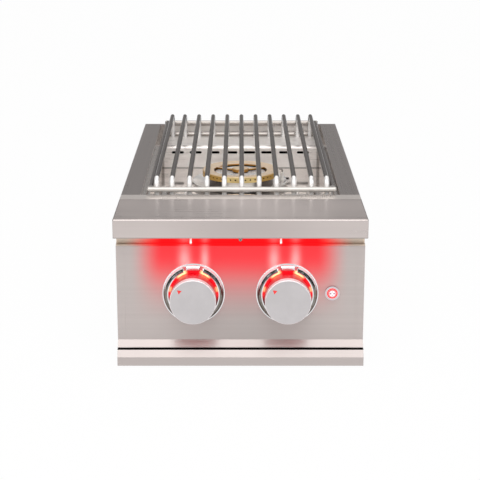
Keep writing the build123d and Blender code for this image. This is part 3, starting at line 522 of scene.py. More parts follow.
@dataclass(frozen=True)
class BrushedSteel(Finish):
    """Brushed sheet steel, with grain, smudges and stretched highlights."""

    grain: Grain = Grain.ACROSS
    depth: float = 0.07
    stretch: float = 0.85
    # Painted reflection: a tone darker to the middle of the front faces, and darker to the ends of the upward
    # ones.
    middle: float = 1.0
    top_ends: float = 1.0
    top_limits: Pair = (0.6, 0.9)
    # Painted shade: the faces inside the body within these limits turn dark and lose their shine.
    inner: Optional[Tuple[float, float, float, float]] = None
    inner_up: bool = False
    inner_limits: Pair = (0.2, 0.4)
    # Painted shade: a darker band along the sheet's lower edge, under the height given here.
    shade_below: Optional[float] = None
    edge_soft: float = 0.3 * MM
    shade_tone: float = 0.6
    smudge_size: float = 9.0
    smudge_part: float = 0.5
    spread: float = 0.05
    groove: float = 0.05

    def sheet(self, graph: Graph) -> Socket:
        """Work out the colour of the sheet, with the painted reflection, the painted shade along its lower
        edge and the painted shade on its inner faces, where these are set.

        Args:
            graph: The material's tree.

        Returns:
            The colour.
        """
        grain = GRAIN.put(graph, Stretch=self.grain.value)
        colour = graph.tones(grain["Tone"], self.colour, 1.0 - self.depth, 1.0 + self.depth)
        # Painted reflection across the sheet.
        if self.middle < 1.0 or self.top_ends < 1.0:
            band = SHEEN.put(graph)["Mask"]
            front = graph.between(band, self.middle, 1.0)
            top = graph.between(band, 1.0, self.top_ends)
            up = graph.ramp(FACING.put(graph)["Up"], *self.top_limits)
            shade = graph.add("Mix", {0: up, 2: front, 3: top}).outputs[0]
            inputs = {0: colour, "Scale": shade}
            colour = graph.add("VectorMath", inputs, operation="SCALE").outputs["Vector"]
        # Painted shade along the lower edge.
        if self.shade_below is not None:
            up = graph.split(graph.place())[2]
            edge = graph.step(up, self.shade_below, self.edge_soft, 1.0, 0.0)
            colour = graph.blend(edge, colour, scaled(self.colour, self.shade_tone))
        # Painted shade on the inner faces.
        if self.inner is not None:
            colour = graph.blend(self.hidden(graph), colour, PAINTED_SHADE_DARK)
        return colour

    def hidden(self, graph: Graph) -> Socket:
        """Mask the faces inside the body, or only those that face upwards there.

        Args:
            graph: The material's tree.

        Returns:
            The mask.
        """
        front, rear, half, top = self.inner
        mask = INNER.put(graph, Front=front, Rear=rear, Half=half, Top=top)["Mask"]
        if self.inner_up:
            mask = graph.times(mask, graph.ramp(FACING.put(graph)["Up"], *self.inner_limits))
        return mask

    def brush(self, graph: Graph) -> None:
        """Wire the roughness, the bump and the stretched highlight of the grain.

        Args:
            graph: The material's tree.
        """
        grain = GRAIN.put(graph, Stretch=self.grain.value)
        smudge = SMUDGE.put(graph, Size=self.smudge_size)
        mask = graph.share(smudge["Mask"], grain["Tone"], self.smudge_part)
        run = min(self.grain.value)
        crossways = {axis: float(value > run) for axis, value in zip("XYZ", self.grain.value)}
        tangent = graph.add("CombineXYZ", crossways).outputs["Vector"]
        roughness = self.rough(graph, mask, self.spread)
        graph.give(Roughness=roughness, Anisotropic=self.stretch, Tangent=tangent)
        graph.bump(grain["Height"], FINE_BUMP, self.groove)

    def paint(self, graph: Graph) -> None:
        """Wire the sheet's colour and its brushing, and paint shade on its inner faces, which also lose their
        shine.

        Args:
            graph: The material's tree.
        """
        graph.give(Base_Color=self.sheet(graph))
        self.brush(graph)
        # Painted shade: the inner faces lose their shine too.
        if self.inner is not None:
            shine = graph.between(self.hidden(graph), self.metallic, 0.0)
            graph.give(Metallic=shine, Specular_IOR_Level=0.0)


@dataclass(frozen=True)
class FoldedSteel(BrushedSteel):
    """Brushed sheet with a bright rounded fold, its ends darkened as painted shade, and a dark line of
    painted shade in the crease where it meets the floor.
    """

    fold: Colour = srgb(246, 240, 236)
    fold_rise: Pair = (0.08, 0.3)
    fold_end: Pair = (0.95, 0.995)
    # Painted shade: a dark line in the crease at the foot of the wall.
    foot: float = 0.1454
    foot_soft: float = 0.4 * MM
    foot_tone: float = 0.6
    # Painted shade: the sheet's ends turn darker.
    ends: float = 0.1275
    end_soft: float = 0.5 * MM
    end_tone: Colour = srgb(172, 165, 160)

    def paint(self, graph: Graph) -> None:
        """Wire the sheet's colour, the painted shade on its ends, the polished fold and the painted shade
        line at its foot.

        Args:
            graph: The material's tree.
        """
        facing = FACING.put(graph)["Up"]
        fold = graph.times(graph.ramp(facing, *self.fold_rise), graph.ramp(facing, *self.fold_end, 1.0, 0.0))
        across, _, up = graph.split(graph.place())
        foot = graph.step(up, self.foot, self.foot_soft, self.foot_tone, 0.0)
        end = graph.step(graph.math("ABSOLUTE", across), self.ends, self.end_soft)
        colour = graph.blend(end, self.sheet(graph), self.end_tone)
        colour = graph.blend(fold, colour, self.fold)
        colour = graph.blend(foot, colour, PAINTED_SHADE_DARK)
        graph.give(Base_Color=colour, Metallic=graph.between(fold, self.metallic, 1.0))
        self.brush(graph)


@dataclass(frozen=True)
class HoodSteel(BrushedSteel):
    """Brushed hood sheet, with a painted reflection: a paler, less metallic strip between the hob opening and
    the seam.
    """

    # Painted reflection: the paler strip in front of the hob opening.
    strip: Colour = srgb(224, 216, 211)
    strip_from: float = -0.182
    strip_soft: float = 0.5 * MM
    strip_shine: float = 0.6

    def paint(self, graph: Graph) -> None:
        """Wire the sheet's colour and its paler strip of painted reflection.

        Args:
            graph: The material's tree.
        """
        back = graph.split(graph.place())[1]
        mask = graph.step(back, self.strip_from, self.strip_soft, 1.0, 0.0)
        colour = graph.blend(mask, self.sheet(graph), self.strip)
        graph.give(Base_Color=colour, Metallic=graph.between(mask, self.metallic, self.strip_shine))
        self.brush(graph)


@dataclass(frozen=True)
class LitSteel(BrushedSteel):
    """Brushed steel under the red strip, with the strip's red light painted on it from its top edge down,
    painted reflections as pale streaks, and a painted glow.
    """

    # red: painted red light; pale: painted reflection in the streaks; light: colour of the painted glow.
    red: Colour = (0.55, 0.042, 0.052)
    pale: Colour = (0.8, 0.48, 0.48)
    light: Colour = (1.0, 0.012, 0.016)
    full_half: float = 0.1
    end_half: float = 0.145
    fall: float = 0.0517
    glow: float = 0.42

    def paint(self, graph: Graph) -> None:
        """Wire the sheet's colour, the painted red light and pale painted reflections on it, and the painted
        glow that it gives back.

        Args:
            graph: The material's tree.
        """
        light = GLOW.put(graph, Full_Half=self.full_half, End_Half=self.end_half, Fall=self.fall)
        red = light["Red"]
        lit = graph.blend(graph.times(light["Streak"], red), self.red, self.pale)
        colour = graph.blend(red, self.sheet(graph), lit)
        # Painted glow: the lit part of the sheet gives out red light.
        painted_glow = graph.blend(red, BLACK, self.light)
        graph.give(Base_Color=colour, Emission_Color=painted_glow, Emission_Strength=self.glow)
        self.brush(graph)


@dataclass(frozen=True)
class PolishedMetal(Finish):
    """Polished metal with faint smears."""

    depth: float = 0.06
    size: float = 40.0
    spread: float = 0.45

    def paint(self, graph: Graph) -> None:
        """Wire faint smears into the colour and the roughness.

        Args:
            graph: The material's tree.
        """
        mask = SMUDGE.put(graph, Size=self.size)["Mask"]
        colour = graph.tones(mask, self.colour, 1.0 - self.depth, 1.0 + self.depth)
        roughness = self.rough(graph, mask, self.roughness * self.spread)
        graph.give(Base_Color=colour, Roughness=roughness)


@dataclass(frozen=True)
class TurnedMetal(Finish):
    """Metal turned on a lathe, with fine rings round an axis."""

    centre: Point = (0.0, 0.0, 0.0)
    axis: Point = (0.0, 0.0, 1.0)
    depth: float = 0.1
    count: float = 1400.0
    stretch: float = 0.0
    groove: float = 0.15
    # flank: painted reflection, a colour of its own on the faces that look to either side.
    flank: Optional[Colour] = None
    flank_limits: Pair = (0.3, 0.55)
    front_shine: float = 0.35
    smudge_size: float = 60.0
    ring_part: float = 0.6
    spread: float = 0.35

    def paint(self, graph: Graph) -> None:
        """Wire the rings and some smears into the colour, roughness and bump, and stretch the highlight.

        Args:
            graph: The material's tree.
        """
        rings = RINGS.put(graph, Centre=self.centre, Axis=self.axis, Count=self.count)
        smudge = SMUDGE.put(graph, Size=self.smudge_size)
        mask = graph.share(rings["Tone"], smudge["Mask"], self.ring_part)
        colour = graph.tones(mask, self.colour, 1.0 - self.depth, 1.0 + self.depth)
        # Painted reflection on the side-facing faces.
        if self.flank is not None:
            side = graph.ramp(FACING.put(graph)["Side"], *self.flank_limits)
            colour = graph.blend(side, colour, self.flank)
            graph.give(Metallic=graph.between(side, self.front_shine, self.metallic))
        roughness = self.rough(graph, mask, self.roughness * self.spread)
        graph.bump(rings["Tone"], FINE_BUMP, self.groove)
        offset = graph.vector("SUBTRACT", graph.place(), self.centre)
        flat = graph.vector("MULTIPLY", offset, tuple(1.0 - part for part in self.axis))
        tangent = graph.vector("ADD", graph.vector("NORMALIZE", flat), self.axis)
        graph.give(Base_Color=colour, Roughness=roughness, Tangent=tangent, Anisotropic=self.stretch)


@dataclass(frozen=True)
class CapBrass(TurnedMetal):
    """Turned brass of a burner cap, with a painted highlight that makes its top paler, and painted shade
    inside its ring and in its ports.
    """

    # Painted highlight: the upward faces turn pale and lose their shine.
    top: Colour = srgb(255, 228, 200)
    top_limits: Pair = (0.5, 0.9)
    top_part: float = 0.85
    # Painted shade: dark in the ports and darker on the ring's inner edges.
    port_shade: Colour = srgb(12, 7, 3)
    ring_inner_shade: Colour = srgb(190, 134, 58)
    inner_radius: float = 0.056
    port_level: float = 0.1645
    port_half: float = 0.0014
    port_radius: float = 0.0594

    def paint(self, graph: Graph) -> None:
        """Wire the turned metal, then its painted pale top, and the painted shade on its inner edges and in
        the ports.

        Args:
            graph: The material's tree.
        """
        super().paint(graph)
        metal = graph.so_far("Base Color")
        shine = graph.so_far("Metallic")
        up = graph.ramp(FACING.put(graph)["Up"], *self.top_limits)
        side = graph.inverse(up)
        metal = graph.blend(graph.times(up, self.top_part), metal, self.top)
        radius = RINGS.put(graph, Centre=self.centre, Axis=self.axis)["Radius"]
        edge = graph.times(graph.math("LESS_THAN", radius, self.inner_radius), side)
        metal = graph.blend(edge, metal, self.ring_inner_shade)
        inside = graph.math("LESS_THAN", radius, self.port_radius)
        away = graph.away(graph.split(graph.place())[2], self.port_level)
        port = graph.times(inside, graph.math("LESS_THAN", away, self.port_half))
        graph.give(Base_Color=graph.blend(port, metal, self.port_shade), Metallic=graph.times(shine, side))


@dataclass(frozen=True)
class KnobMetal(Finish):
    """Knob metal: a satin blasted face and polished sides, with a painted red reflection of the lit halo on
    the sides near the panel.
    """

    face_limits: Pair = (0.75, 0.98)
    face_tones: Pair = (0.94, 1.05)
    side: Colour = srgb(246, 238, 240)
    side_roughness: float = 0.3
    side_shine: float = 0.3
    # Painted reflection: the sides turn red towards the halo, from a depth behind the face.
    sheen: Colour = srgb(232, 8, 34)
    face_y: float = 0.0
    sheen_from: float = 0.008
    sheen_full: float = 0.011
    speck_scale: float = 2600.0
    speck_part: float = 0.5
    speck_bump: float = 0.03 * MM
    speck_strength: float = 0.12
    smudge_size: float = 55.0

    def paint(self, graph: Graph) -> None:
        """Wire the face and the sides by the way that the surface faces.

        Args:
            graph: The material's tree.
        """
        front = graph.ramp(FACING.put(graph)["Front"], *self.face_limits)
        speck = graph.noise(self.speck_scale, 2.0)
        smudge = SMUDGE.put(graph, Size=self.smudge_size)["Mask"]
        face = graph.tones(graph.share(speck, smudge, self.speck_part), self.colour, *self.face_tones)
        back = graph.math("SUBTRACT", graph.split(graph.place())[1], self.face_y)
        side = graph.blend(graph.ramp(back, self.sheen_from, self.sheen_full), self.side, self.sheen)
        shine = graph.between(front, self.side_shine, self.metallic)
        roughness = graph.between(front, self.side_roughness, self.roughness)
        graph.give(Base_Color=graph.blend(front, side, face), Metallic=shine, Roughness=roughness)
        graph.bump(graph.times(speck, front), self.speck_bump, self.speck_strength)


@dataclass(frozen=True)
class BezelChrome(PolishedMetal):
    """Bezel chrome, bright on top and inside, with a painted dark reflection on its outer sides."""

    centre: Point = (0.0, 0.0, 0.0)
    # Painted reflection: grey on the lower outer sides and black on the upper ones.
    shade: Colour = srgb(120, 114, 106)
    black: Colour = srgb(20, 17, 16)
    black_limits: Pair = (0.05, 0.3)
    outer_limits: Pair = (0.1, 0.4)
    pad: float = 0.36
    pad_soft: float = 0.03
    rim: float = 0.0377
    rim_soft: float = 0.4 * MM
    rim_rise: float = 0.4
    rim_shine: float = 0.3
    patch_size: float = 160.0
    patch_least: float = 0.88

    def paint(self, graph: Graph) -> None:
        """Wire the smears, then the painted dark reflection on the sides that face away from the knob, and
        the pale rim in front.

        Args:
            graph: The material's tree.
        """
        super().paint(graph)
        chrome = graph.so_far("Base Color")
        offset = graph.vector("SUBTRACT", graph.place(), self.centre)
        arm = graph.vector("NORMALIZE", graph.vector("MULTIPLY", offset, (1.0, 0.0, 1.0)))
        outward = graph.vector("DOT_PRODUCT", arm, graph.add("TexCoord").outputs["Normal"])
        across, _, up = graph.split(arm)
        beside = graph.step(graph.math("ABSOLUTE", across), self.pad, self.pad_soft)
        clear = graph.math("MAXIMUM", beside, graph.math("LESS_THAN", up, 0.0))
        radius = RINGS.put(graph, Centre=self.centre, Axis=FORWARD)["Radius"]
        rim = graph.step(radius, self.rim, self.rim_soft)
        rim = graph.times(rim, clear, graph.ramp(up, 0.0, self.rim_rise))
        patch = graph.between(SMUDGE.put(graph, Size=self.patch_size)["Mask"], self.patch_least, 1.0)
        outer = graph.ramp(outward, *self.outer_limits)
        mask = graph.times(outer, graph.math("SUBTRACT", clear, rim), patch)
        dark = graph.blend(graph.ramp(FACING.put(graph)["Up"], *self.black_limits), self.shade, self.black)
        shine = graph.between(rim, self.metallic, self.rim_shine)
        graph.give(Base_Color=graph.blend(mask, chrome, dark), Metallic=shine)


@dataclass(frozen=True)
class RodSteel(Finish):
    """Drawn rod, darker along its top, where a heat tint and a painted dark reflection are laid together, and
    bright on its legs.
    """

    dark: Colour = srgb(132, 124, 121)
    dark_tones: Pair = (0.88, 1.12)
    bright_tones: Pair = (0.94, 1.04)
    # Painted reflection: the faces that look to either side turn darker.
    edge: Colour = srgb(92, 87, 86)
    edge_limits: Pair = (0.45, 0.85)
    bright_top: float = 0.2105
    dark_from: float = 0.2145
    shine_legs: float = 0.35
    dulling: float = 0.06
    knee: float = -0.161
    knee_soft: float = 2.0 * MM
    mottle_size: float = 30.0
    mottle: float = 1.0 * MM
    groove: float = 0.12

    def paint(self, graph: Graph) -> None:
        """Wire the dark top by height, heat tint and painted dark reflection in one, and the painted dark
        reflection on its sides, with fine drawing lines and a heat mottle.

        Args:
            graph: The material's tree.
        """
        _, back, up = graph.split(graph.place())
        mottle = SMUDGE.put(graph, Size=self.mottle_size)["Mask"]
        wander = graph.math("MULTIPLY_ADD", mottle, self.mottle, up)
        knee = graph.step(back, self.knee, self.knee_soft)
        # Mask of the dark top: heat tint and painted dark reflection together.
        heat = graph.times(graph.ramp(wander, self.bright_top, self.dark_from), knee)
        lines = GRAIN.put(graph, Stretch=Grain.BACK.value)
        dark = graph.tones(lines["Tone"], self.dark, *self.dark_tones)
        dark = graph.blend(graph.ramp(FACING.put(graph)["Side"], *self.edge_limits), dark, self.edge)
        bright = graph.tones(lines["Tone"], self.colour, *self.bright_tones)
        roughness = graph.between(heat, self.roughness, self.roughness + self.dulling)
        shine = graph.between(heat, self.shine_legs, 1.0)
        graph.give(Base_Color=graph.blend(heat, bright, dark), Roughness=roughness, Metallic=shine)
        graph.bump(lines["Height"], FINE_BUMP, self.groove)


@dataclass(frozen=True)
class LitLens(Finish):
    """A lit lens: its own colour, with hot streaks where the lamps behind it sit."""

    hot: Colour = srgb(255, 246, 176)
    centre: Point = (0.0, 0.0, 0.0)
    dark: Colour = srgb(70, 0, 6)
    streaks: Tuple[Tuple[float, float, float], ...] = ((0.54, 0.32, 1.0), (1.38, 0.16, 0.45))
    core: float = 0.35
    glow: float = 1.0
    inner: float = 0.026
    outer: float = 0.0305
    dark_below: float = -0.012
    bright_above: float = 0.004

    def paint(self, graph: Graph) -> None:
        """Wire hot streaks near the lens's outer edge, by their lean from the top, and its dark lower part.

        Args:
            graph: The material's tree.
        """
        across, _, up = graph.split(graph.vector("SUBTRACT", graph.place(), self.centre))
        lean = graph.away(graph.math("ARCTAN2", up, across), math.pi / 2)
        wave: Input = 0.0
        for middle, half, level in self.streaks:
            streak = graph.ramp(graph.away(lean, middle), self.core * half, half, level, 0.0)
            wave = graph.math("ADD", streak, wave)
        radius = RINGS.put(graph, Centre=self.centre, Axis=FORWARD)["Radius"]
        hot = graph.times(wave, graph.ramp(radius, self.inner, self.outer))
        lit = graph.ramp(up, self.dark_below, self.bright_above)
        colour = graph.blend(lit, self.dark, graph.blend(hot, self.colour, self.hot))
        graph.shine(colour, self.glow)


@dataclass(frozen=True)
class LampGlass(Finish):
    """A small lit lamp, white at its lower end and reddened by the strip above."""

    edge: Colour = srgb(255, 96, 92)
    glow: float = 1.0
    low: float = 0.1605
    high: float = 0.1715
    least: float = 0.15

    def paint(self, graph: Graph) -> None:
        """Wire a glow that reddens along the lamp's height.

        Args:
            graph: The material's tree.
        """
        mask = graph.ramp(graph.split(graph.place())[2], self.low, self.high, 1.0, self.least)
        colour = graph.blend(mask, self.edge, self.colour)
        graph.shine(colour, self.glow)


@dataclass(frozen=True)
class Ceramic(Finish):
    """Unglazed ceramic with fine grey specks."""

    speck: Colour = srgb(150, 144, 138)
    speck_scale: float = 900.0
    speck_limits: Pair = (0.58, 0.72)
    spread: float = 0.1
    grit: float = 0.05 * MM
    grit_strength: float = 0.2

    def paint(self, graph: Graph) -> None:
        """Wire the specks and a soft surface.

        Args:
            graph: The material's tree.
        """
        noise = graph.noise(self.speck_scale, 3.0)
        mask = graph.ramp(noise, *self.speck_limits)
        colour = graph.blend(mask, self.colour, self.speck)
        graph.give(Base_Color=colour, Roughness=self.rough(graph, mask, self.spread))
        graph.bump(noise, self.grit, self.grit_strength)


@dataclass(frozen=True)
class MouldedPlastic(Finish):
    """Moulded plastic or enamel with a fine texture, lit or not, and with a coloured edge or none."""

    size: float = 1500.0
    tones: Pair = (0.92, 1.06)
    spread: float = 0.06
    texture: float = 0.15
    glow: float = 0.0
    lit_gloss: float = 0.15
    centre: Point = (0.0, 0.0, 0.0)
    edge: Optional[Colour] = None
    edge_radius: float = 4.2 * MM
    edge_soft: float = 0.3 * MM

    def paint(self, graph: Graph) -> None:
        """Wire a fine texture, and an even light where the piece is lit.

        Args:
            graph: The material's tree.
        """
        mask = graph.noise(self.size, 2.0)
        colour = graph.tones(mask, self.colour, *self.tones)
        if self.edge is not None:
            radius = RINGS.put(graph, Centre=self.centre, Axis=FORWARD)["Radius"]
            colour = graph.blend(graph.step(radius, self.edge_radius, self.edge_soft), colour, self.edge)
        graph.give(Base_Color=colour, Roughness=self.rough(graph, mask, self.spread))
        graph.bump(mask, FINE_BUMP, self.texture)
        if self.glow > 0.0:
            graph.shine(colour, self.glow)
            graph.give(Specular_IOR_Level=self.lit_gloss)


STEEL = srgb(196, 187, 184)
BRASS = srgb(246, 218, 158)
STEEL_TUBE = PolishedMetal("steel_tube", srgb(176, 172, 168), 0.34)
SCREW_STEEL = TurnedMetal("screw_steel", srgb(186, 182, 178), 0.28)
# Painted shade: a dark plate on each screw head stands for the shade in its cross recess.
SCREW_RECESS = PolishedMetal("screw_recess_dark", srgb(58, 56, 55), 0.5)
SCREW_CROSS: Pair = (1.9 * MM, 0.45 * MM)
CROSS_LIFT = 0.12 * MM
CROSS_EDGE = 0.02 * MM
BEAD_RIPPLE = 0.12
BEAD_WAVES = 7.0


def dress(finish: Finish, *nodes: str) -> None:
    """Give CAD nodes a finish.

    Args:
        finish: The finish.
        *nodes: Names of the nodes.
    """
    material = finish.make()
    for node in nodes:
        piece = frame["nodes"][node]
        if not piece.material_slots:
            piece.data.materials.append(material)
        for place in piece.material_slots:
            place.material = material
        LOG.info("dressed %s in %s", node, finish.name)


def front_centre(node: str) -> Vector:
    """Return the middle of a CAD node's front face."""
    low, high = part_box(node)
    return Vector(((low.x + high.x) / 2, low.y, (low.z + high.z) / 2))


def add_piece(name: str, mesh: Mesh, finish: Finish, body: str, smooth: bool = False) -> None:
    """Turn a mesh into a piece that rides on a body.

    Args:
        name: Name of the piece.
        mesh: Its mesh, in metres in the shared frame.
        finish: Its finish.
        body: The body that carries it.
        smooth: Whether its faces are shaded smooth.
    """
    bmesh.ops.recalc_face_normals(mesh, faces=mesh.faces)
    data = bpy.data.meshes.new(name)
    mesh.to_mesh(data)
    mesh.free()
    for face in data.polygons:
        face.use_smooth = smooth
    data.materials.append(finish.make())
    piece = bpy.data.objects.new(name, data)
    bpy.context.scene.collection.objects.link(piece)
    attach(piece, body)
    LOG.info("built %s on %s", name, body)


def round_outline(
    centre: Vector, radius: float, corners: int, start: float = 0.0, flat: bool = False
) -> List[Vector]:
    """Set corners evenly round a centre.

    Args:
        centre: The centre.
        radius: From it to each corner.
        corners: How many corners.
        start: Angle of the first one.
        flat: Whether the outline lies flat or stands up and faces the front.

    Returns:
        The corners in order.
    """
    outline = []
    for index in range(corners):
        turn = start + 2.0 * math.pi * index / corners
        across, other = math.cos(turn), math.sin(turn)
        outline.append(centre + radius * Vector((across, other, 0.0) if flat else (across, 0.0, other)))
    return outline


def add_prism(mesh: Mesh, outline: Sequence[Vector], depth: Vector, edge: float) -> None:
    """Add a prism with softened edges to a mesh.

    Args:
        mesh: The mesh.
        outline: Corners of one end, in order.
        depth: From that end to the other.
        edge: Width of the softened edges.
    """
    near = [mesh.verts.new(point) for point in outline]
    far = [mesh.verts.new(point + depth) for point in outline]
    faces = [mesh.faces.new(near), mesh.faces.new(list(reversed(far)))]
    for index in range(len(near)):
        after = (index + 1) % len(near)
        faces.append(mesh.faces.new((near[after], near[index], far[index], far[after])))
    edges = list({line for face in faces for line in face.edges})
    bmesh.ops.bevel(mesh, geom=edges, offset=edge, segments=2, profile=0.6, affect="EDGES")


def add_cross(mesh: Mesh, centre: Vector, outward: Vector, reach: float, width: float) -> None:
    """Add the cross recess of a screw head to a mesh, as a thin plate on the head; its dark finish is painted
    shade in place of a real recess.

    Args:
        mesh: The mesh.
        centre: Middle of the head's face.
        outward: Way that the head faces.
        reach: From the middle to each arm's end.
        width: Half the width of an arm.
    """
    first = outward.orthogonal().normalized()
    second = outward.cross(first)
    corners = [(width, reach), (width, width), (reach, width)]
    for _ in range(3):
        corners += [(up, -right) for right, up in corners[-3:]]
    outline = [centre + first * right + second * up for right, up in corners]
    add_prism(mesh, outline, outward * CROSS_LIFT, CROSS_EDGE)


def add_bead(mesh: Mesh, centre: Vector, size: Vector) -> None:
    """Add one weld bead to a mesh, as a rippled lens.

    Args:
        mesh: The mesh.
        centre: Middle of the bead.
        size: Half its size along X, Y and Z.
    """
    made = bmesh.ops.create_icosphere(mesh, subdivisions=2, radius=1.0)
    for vert in made["verts"]:
        spot = vert.co
        ripple = 1.0 + BEAD_RIPPLE * math.cos(BEAD_WAVES * spot.z)
        vert.co = centre + Vector((spot.x * size.x * ripple, spot.y * size.y * ripple, spot.z * size.z))


@dataclass
class Hood:
    """Sheet hood: the frame round the hob and the lip in front of it."""

    finish: HoodSteel = HoodSteel("steel_hood", STEEL, 0.3, grain=Grain.BACK)
    # Painted light: the lip is a lighter copy of the hood steel.
    lip_colour: Colour = scaled(STEEL, 1.04)
    lip_shade: float = 1.0 * MM

    def build(self) -> None:
        """Dress the two sheets, the lip with painted shade along its lower edge."""
        dress(self.finish, "hood_frame")
        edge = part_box("front_lip")[0].z + self.lip_shade
        # Painted reflection: the lip's front is darker to its middle and its top darker to its ends.
        lip = BrushedSteel(
            "steel_lip", self.lip_colour, 0.3, depth=0.04, middle=0.87, top_ends=0.8, shade_below=edge
        )
        dress(lip, "front_lip")


@dataclass
class ControlFront:
    """Control panel, the lit rail above it, its lamps and its screw."""

    # Painted shade: the panel is a darker copy of the hood steel; it carries the strip's painted red light
    # and glow, and a painted reflection darker to its middle.
    panel: LitSteel = LitSteel("steel_panel_lit", scaled(STEEL, 0.9), 0.34, 0.75, depth=0.03, middle=0.87)
    # The rail carries the strip's painted red light and glow.
    rail: LitSteel = LitSteel(
        "steel_rail_lit", srgb(228, 214, 198), 0.36, red=(0.5, 0.004, 0.006), end_half=0.152, glow=0.66
    )
    strip: MouldedPlastic = MouldedPlastic("strip_diffuser_red", srgb(250, 20, 24), 0.4, 0.0, glow=1.0)
    lamp: LampGlass = LampGlass("lamp_diffuser_white", srgb(255, 246, 244), 0.35, 0.0)
    screw: TurnedMetal = TurnedMetal("rail_screw_steel", srgb(190, 184, 180), 0.3)
    screw_cross: Pair = (1.5 * MM, 0.35 * MM)

    def build(self) -> None:
        """Dress the sheets and the lamps, and lay a dark plate of painted shade for the screw's cross."""
        dress(self.panel, "control_panel")
        dress(self.rail, "light_rail")
        dress(self.strip, "light_strip")
        dress(self.lamp, "rail_lamps")
        dress(self.screw, "rail_screw")
        mesh = bmesh.new()
        add_cross(mesh, front_centre("rail_screw"), Vector((0, -1, 0)), *self.screw_cross)
        add_piece("rail_screw_recess", mesh, SCREW_RECESS, "unit")


@dataclass
class KnobSet:
    """One push-and-turn knob with its bezel, its lit halo and its pointer."""

    side: Side
    knob_colour: Colour = srgb(202, 198, 199)
    chrome_colour: Colour = srgb(236, 236, 238)
    lens_colour: Colour = srgb(238, 22, 34)
    stem: TurnedMetal = TurnedMetal("stem_steel", srgb(176, 172, 168), 0.3)
    pointer: MouldedPlastic = MouldedPlastic("pointer_enamel_red", srgb(232, 52, 48), 0.35, 0.0)
    pointer_radius: float = 22.6 * MM
    pointer_size: float = 3.5 * MM
    pointer_angle: float = 140.0
    pointer_lift: float = 0.2 * MM
    pointer_edge: float = 0.06 * MM

    def build(self) -> None:
        """Dress the pieces of the knob and paint its pointer."""
        word = self.side.value
        face_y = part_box(f"knob_{word}")[0].y
        dress(KnobMetal("knob_satin", self.knob_colour, 0.4, face_y=face_y), f"knob_{word}")
        dress(self.stem, f"valve_stem_{word}", f"stem_collar_{word}")
        centre = tuple(front_centre(f"halo_lens_{word}"))
        chrome = BezelChrome(f"bezel_chrome_{word}", self.chrome_colour, 0.05, depth=0.03, centre=centre)
        dress(chrome, f"bezel_{word}")
        lens = LitLens(f"halo_lens_red_{word}", self.lens_colour, 0.3, 0.0, centre=centre)
        dress(lens, f"halo_lens_{word}")
        self.add_pointer(word)

    def add_pointer(self, word: str) -> None:
        """Paint a small triangle near the knob's edge, pointing outwards.

        Args:
            word: The side, as the nodes' names have it.
        """
        turn = math.radians(self.pointer_angle)
        arm = self.pointer_radius * Vector((math.cos(turn), 0.0, math.sin(turn)))
        outline = round_outline(front_centre(f"knob_{word}") + arm, self.pointer_size, 3, turn)
        mesh = bmesh.new()
        add_prism(mesh, outline, Vector((0.0, -self.pointer_lift, 0.0)), self.pointer_edge)
        add_piece(f"knob_pointer_{word}", mesh, self.pointer, f"knob_turn_{word}")


@dataclass
class LightButton:
    """Light button: housing, lit ring, nut and cap."""

    chrome_colour: Colour = srgb(214, 204, 208)
    # Painted reflection: the housing's outer sides take this dark red.
    chrome_edge: Colour = srgb(112, 62, 66)
    no_rim: float = 1.0
    cap_colour: Colour = srgb(238, 226, 230)
    nut: PolishedMetal = PolishedMetal("button_chrome", srgb(222, 220, 222), 0.12, depth=0.04)
    ring: MouldedPlastic = MouldedPlastic("button_ring_red", srgb(232, 8, 6), 0.5, 0.0, glow=0.9)
    mark: MouldedPlastic = MouldedPlastic("button_mark_lilac", srgb(172, 132, 150), 0.5, 0.0)
    dot_ring: float = 2.4 * MM
    dot_sizes: Tuple[float, ...] = (1.15 * MM, 0.6 * MM, 1.15 * MM, 0.6 * MM)
    dot_corners: int = 12
    dot_lift: float = 0.08 * MM
    dot_edge: float = 0.02 * MM

    def build(self) -> None:
        """Dress the button and mark its cap with plain dots."""
        chrome = BezelChrome(
            "button_chrome_edged", self.chrome_colour, 0.12, depth=0.04,
            centre=tuple(front_centre("button_housing")), shade=self.chrome_edge, black=self.chrome_edge,
            pad=0.0, rim=self.no_rim
        )
        dress(chrome, "button_housing")
        dress(self.nut, "button_nut")
        dress(self.ring, "button_ring")
        hub = front_centre("button_cap")
        cap = MouldedPlastic(
            "button_cap_pale", self.cap_colour, 0.4, 0.0, glow=0.25, centre=tuple(hub), edge=self.ring.colour
        )
        dress(cap, "button_cap")
        mesh = bmesh.new()
        middles = round_outline(hub, self.dot_ring, len(self.dot_sizes))
        for middle, size in zip(middles, self.dot_sizes):
            outline = round_outline(middle, size, self.dot_corners)
            add_prism(mesh, outline, Vector((0.0, -self.dot_lift, 0.0)), self.dot_edge)
        add_piece("button_dots", mesh, self.mark, "button")


@dataclass
class BurnerWell:
    """Burner pan, its rear shelf and the angle that carries the grate's front feet."""

    pan: BrushedSteel = BrushedSteel("steel_pan", srgb(236, 230, 226), 0.07, 0.85, depth=0.04, stretch=0.0)
    shelf: FoldedSteel = FoldedSteel("steel_shelf", srgb(252, 246, 242), 0.3, 0.25, depth=0.04, stretch=0.4)

    def build(self) -> None:
        """Dress the pan and the shelf."""
        dress(self.pan, "burner_pan", "grate_support")
        dress(self.shelf, "rear_shelf")


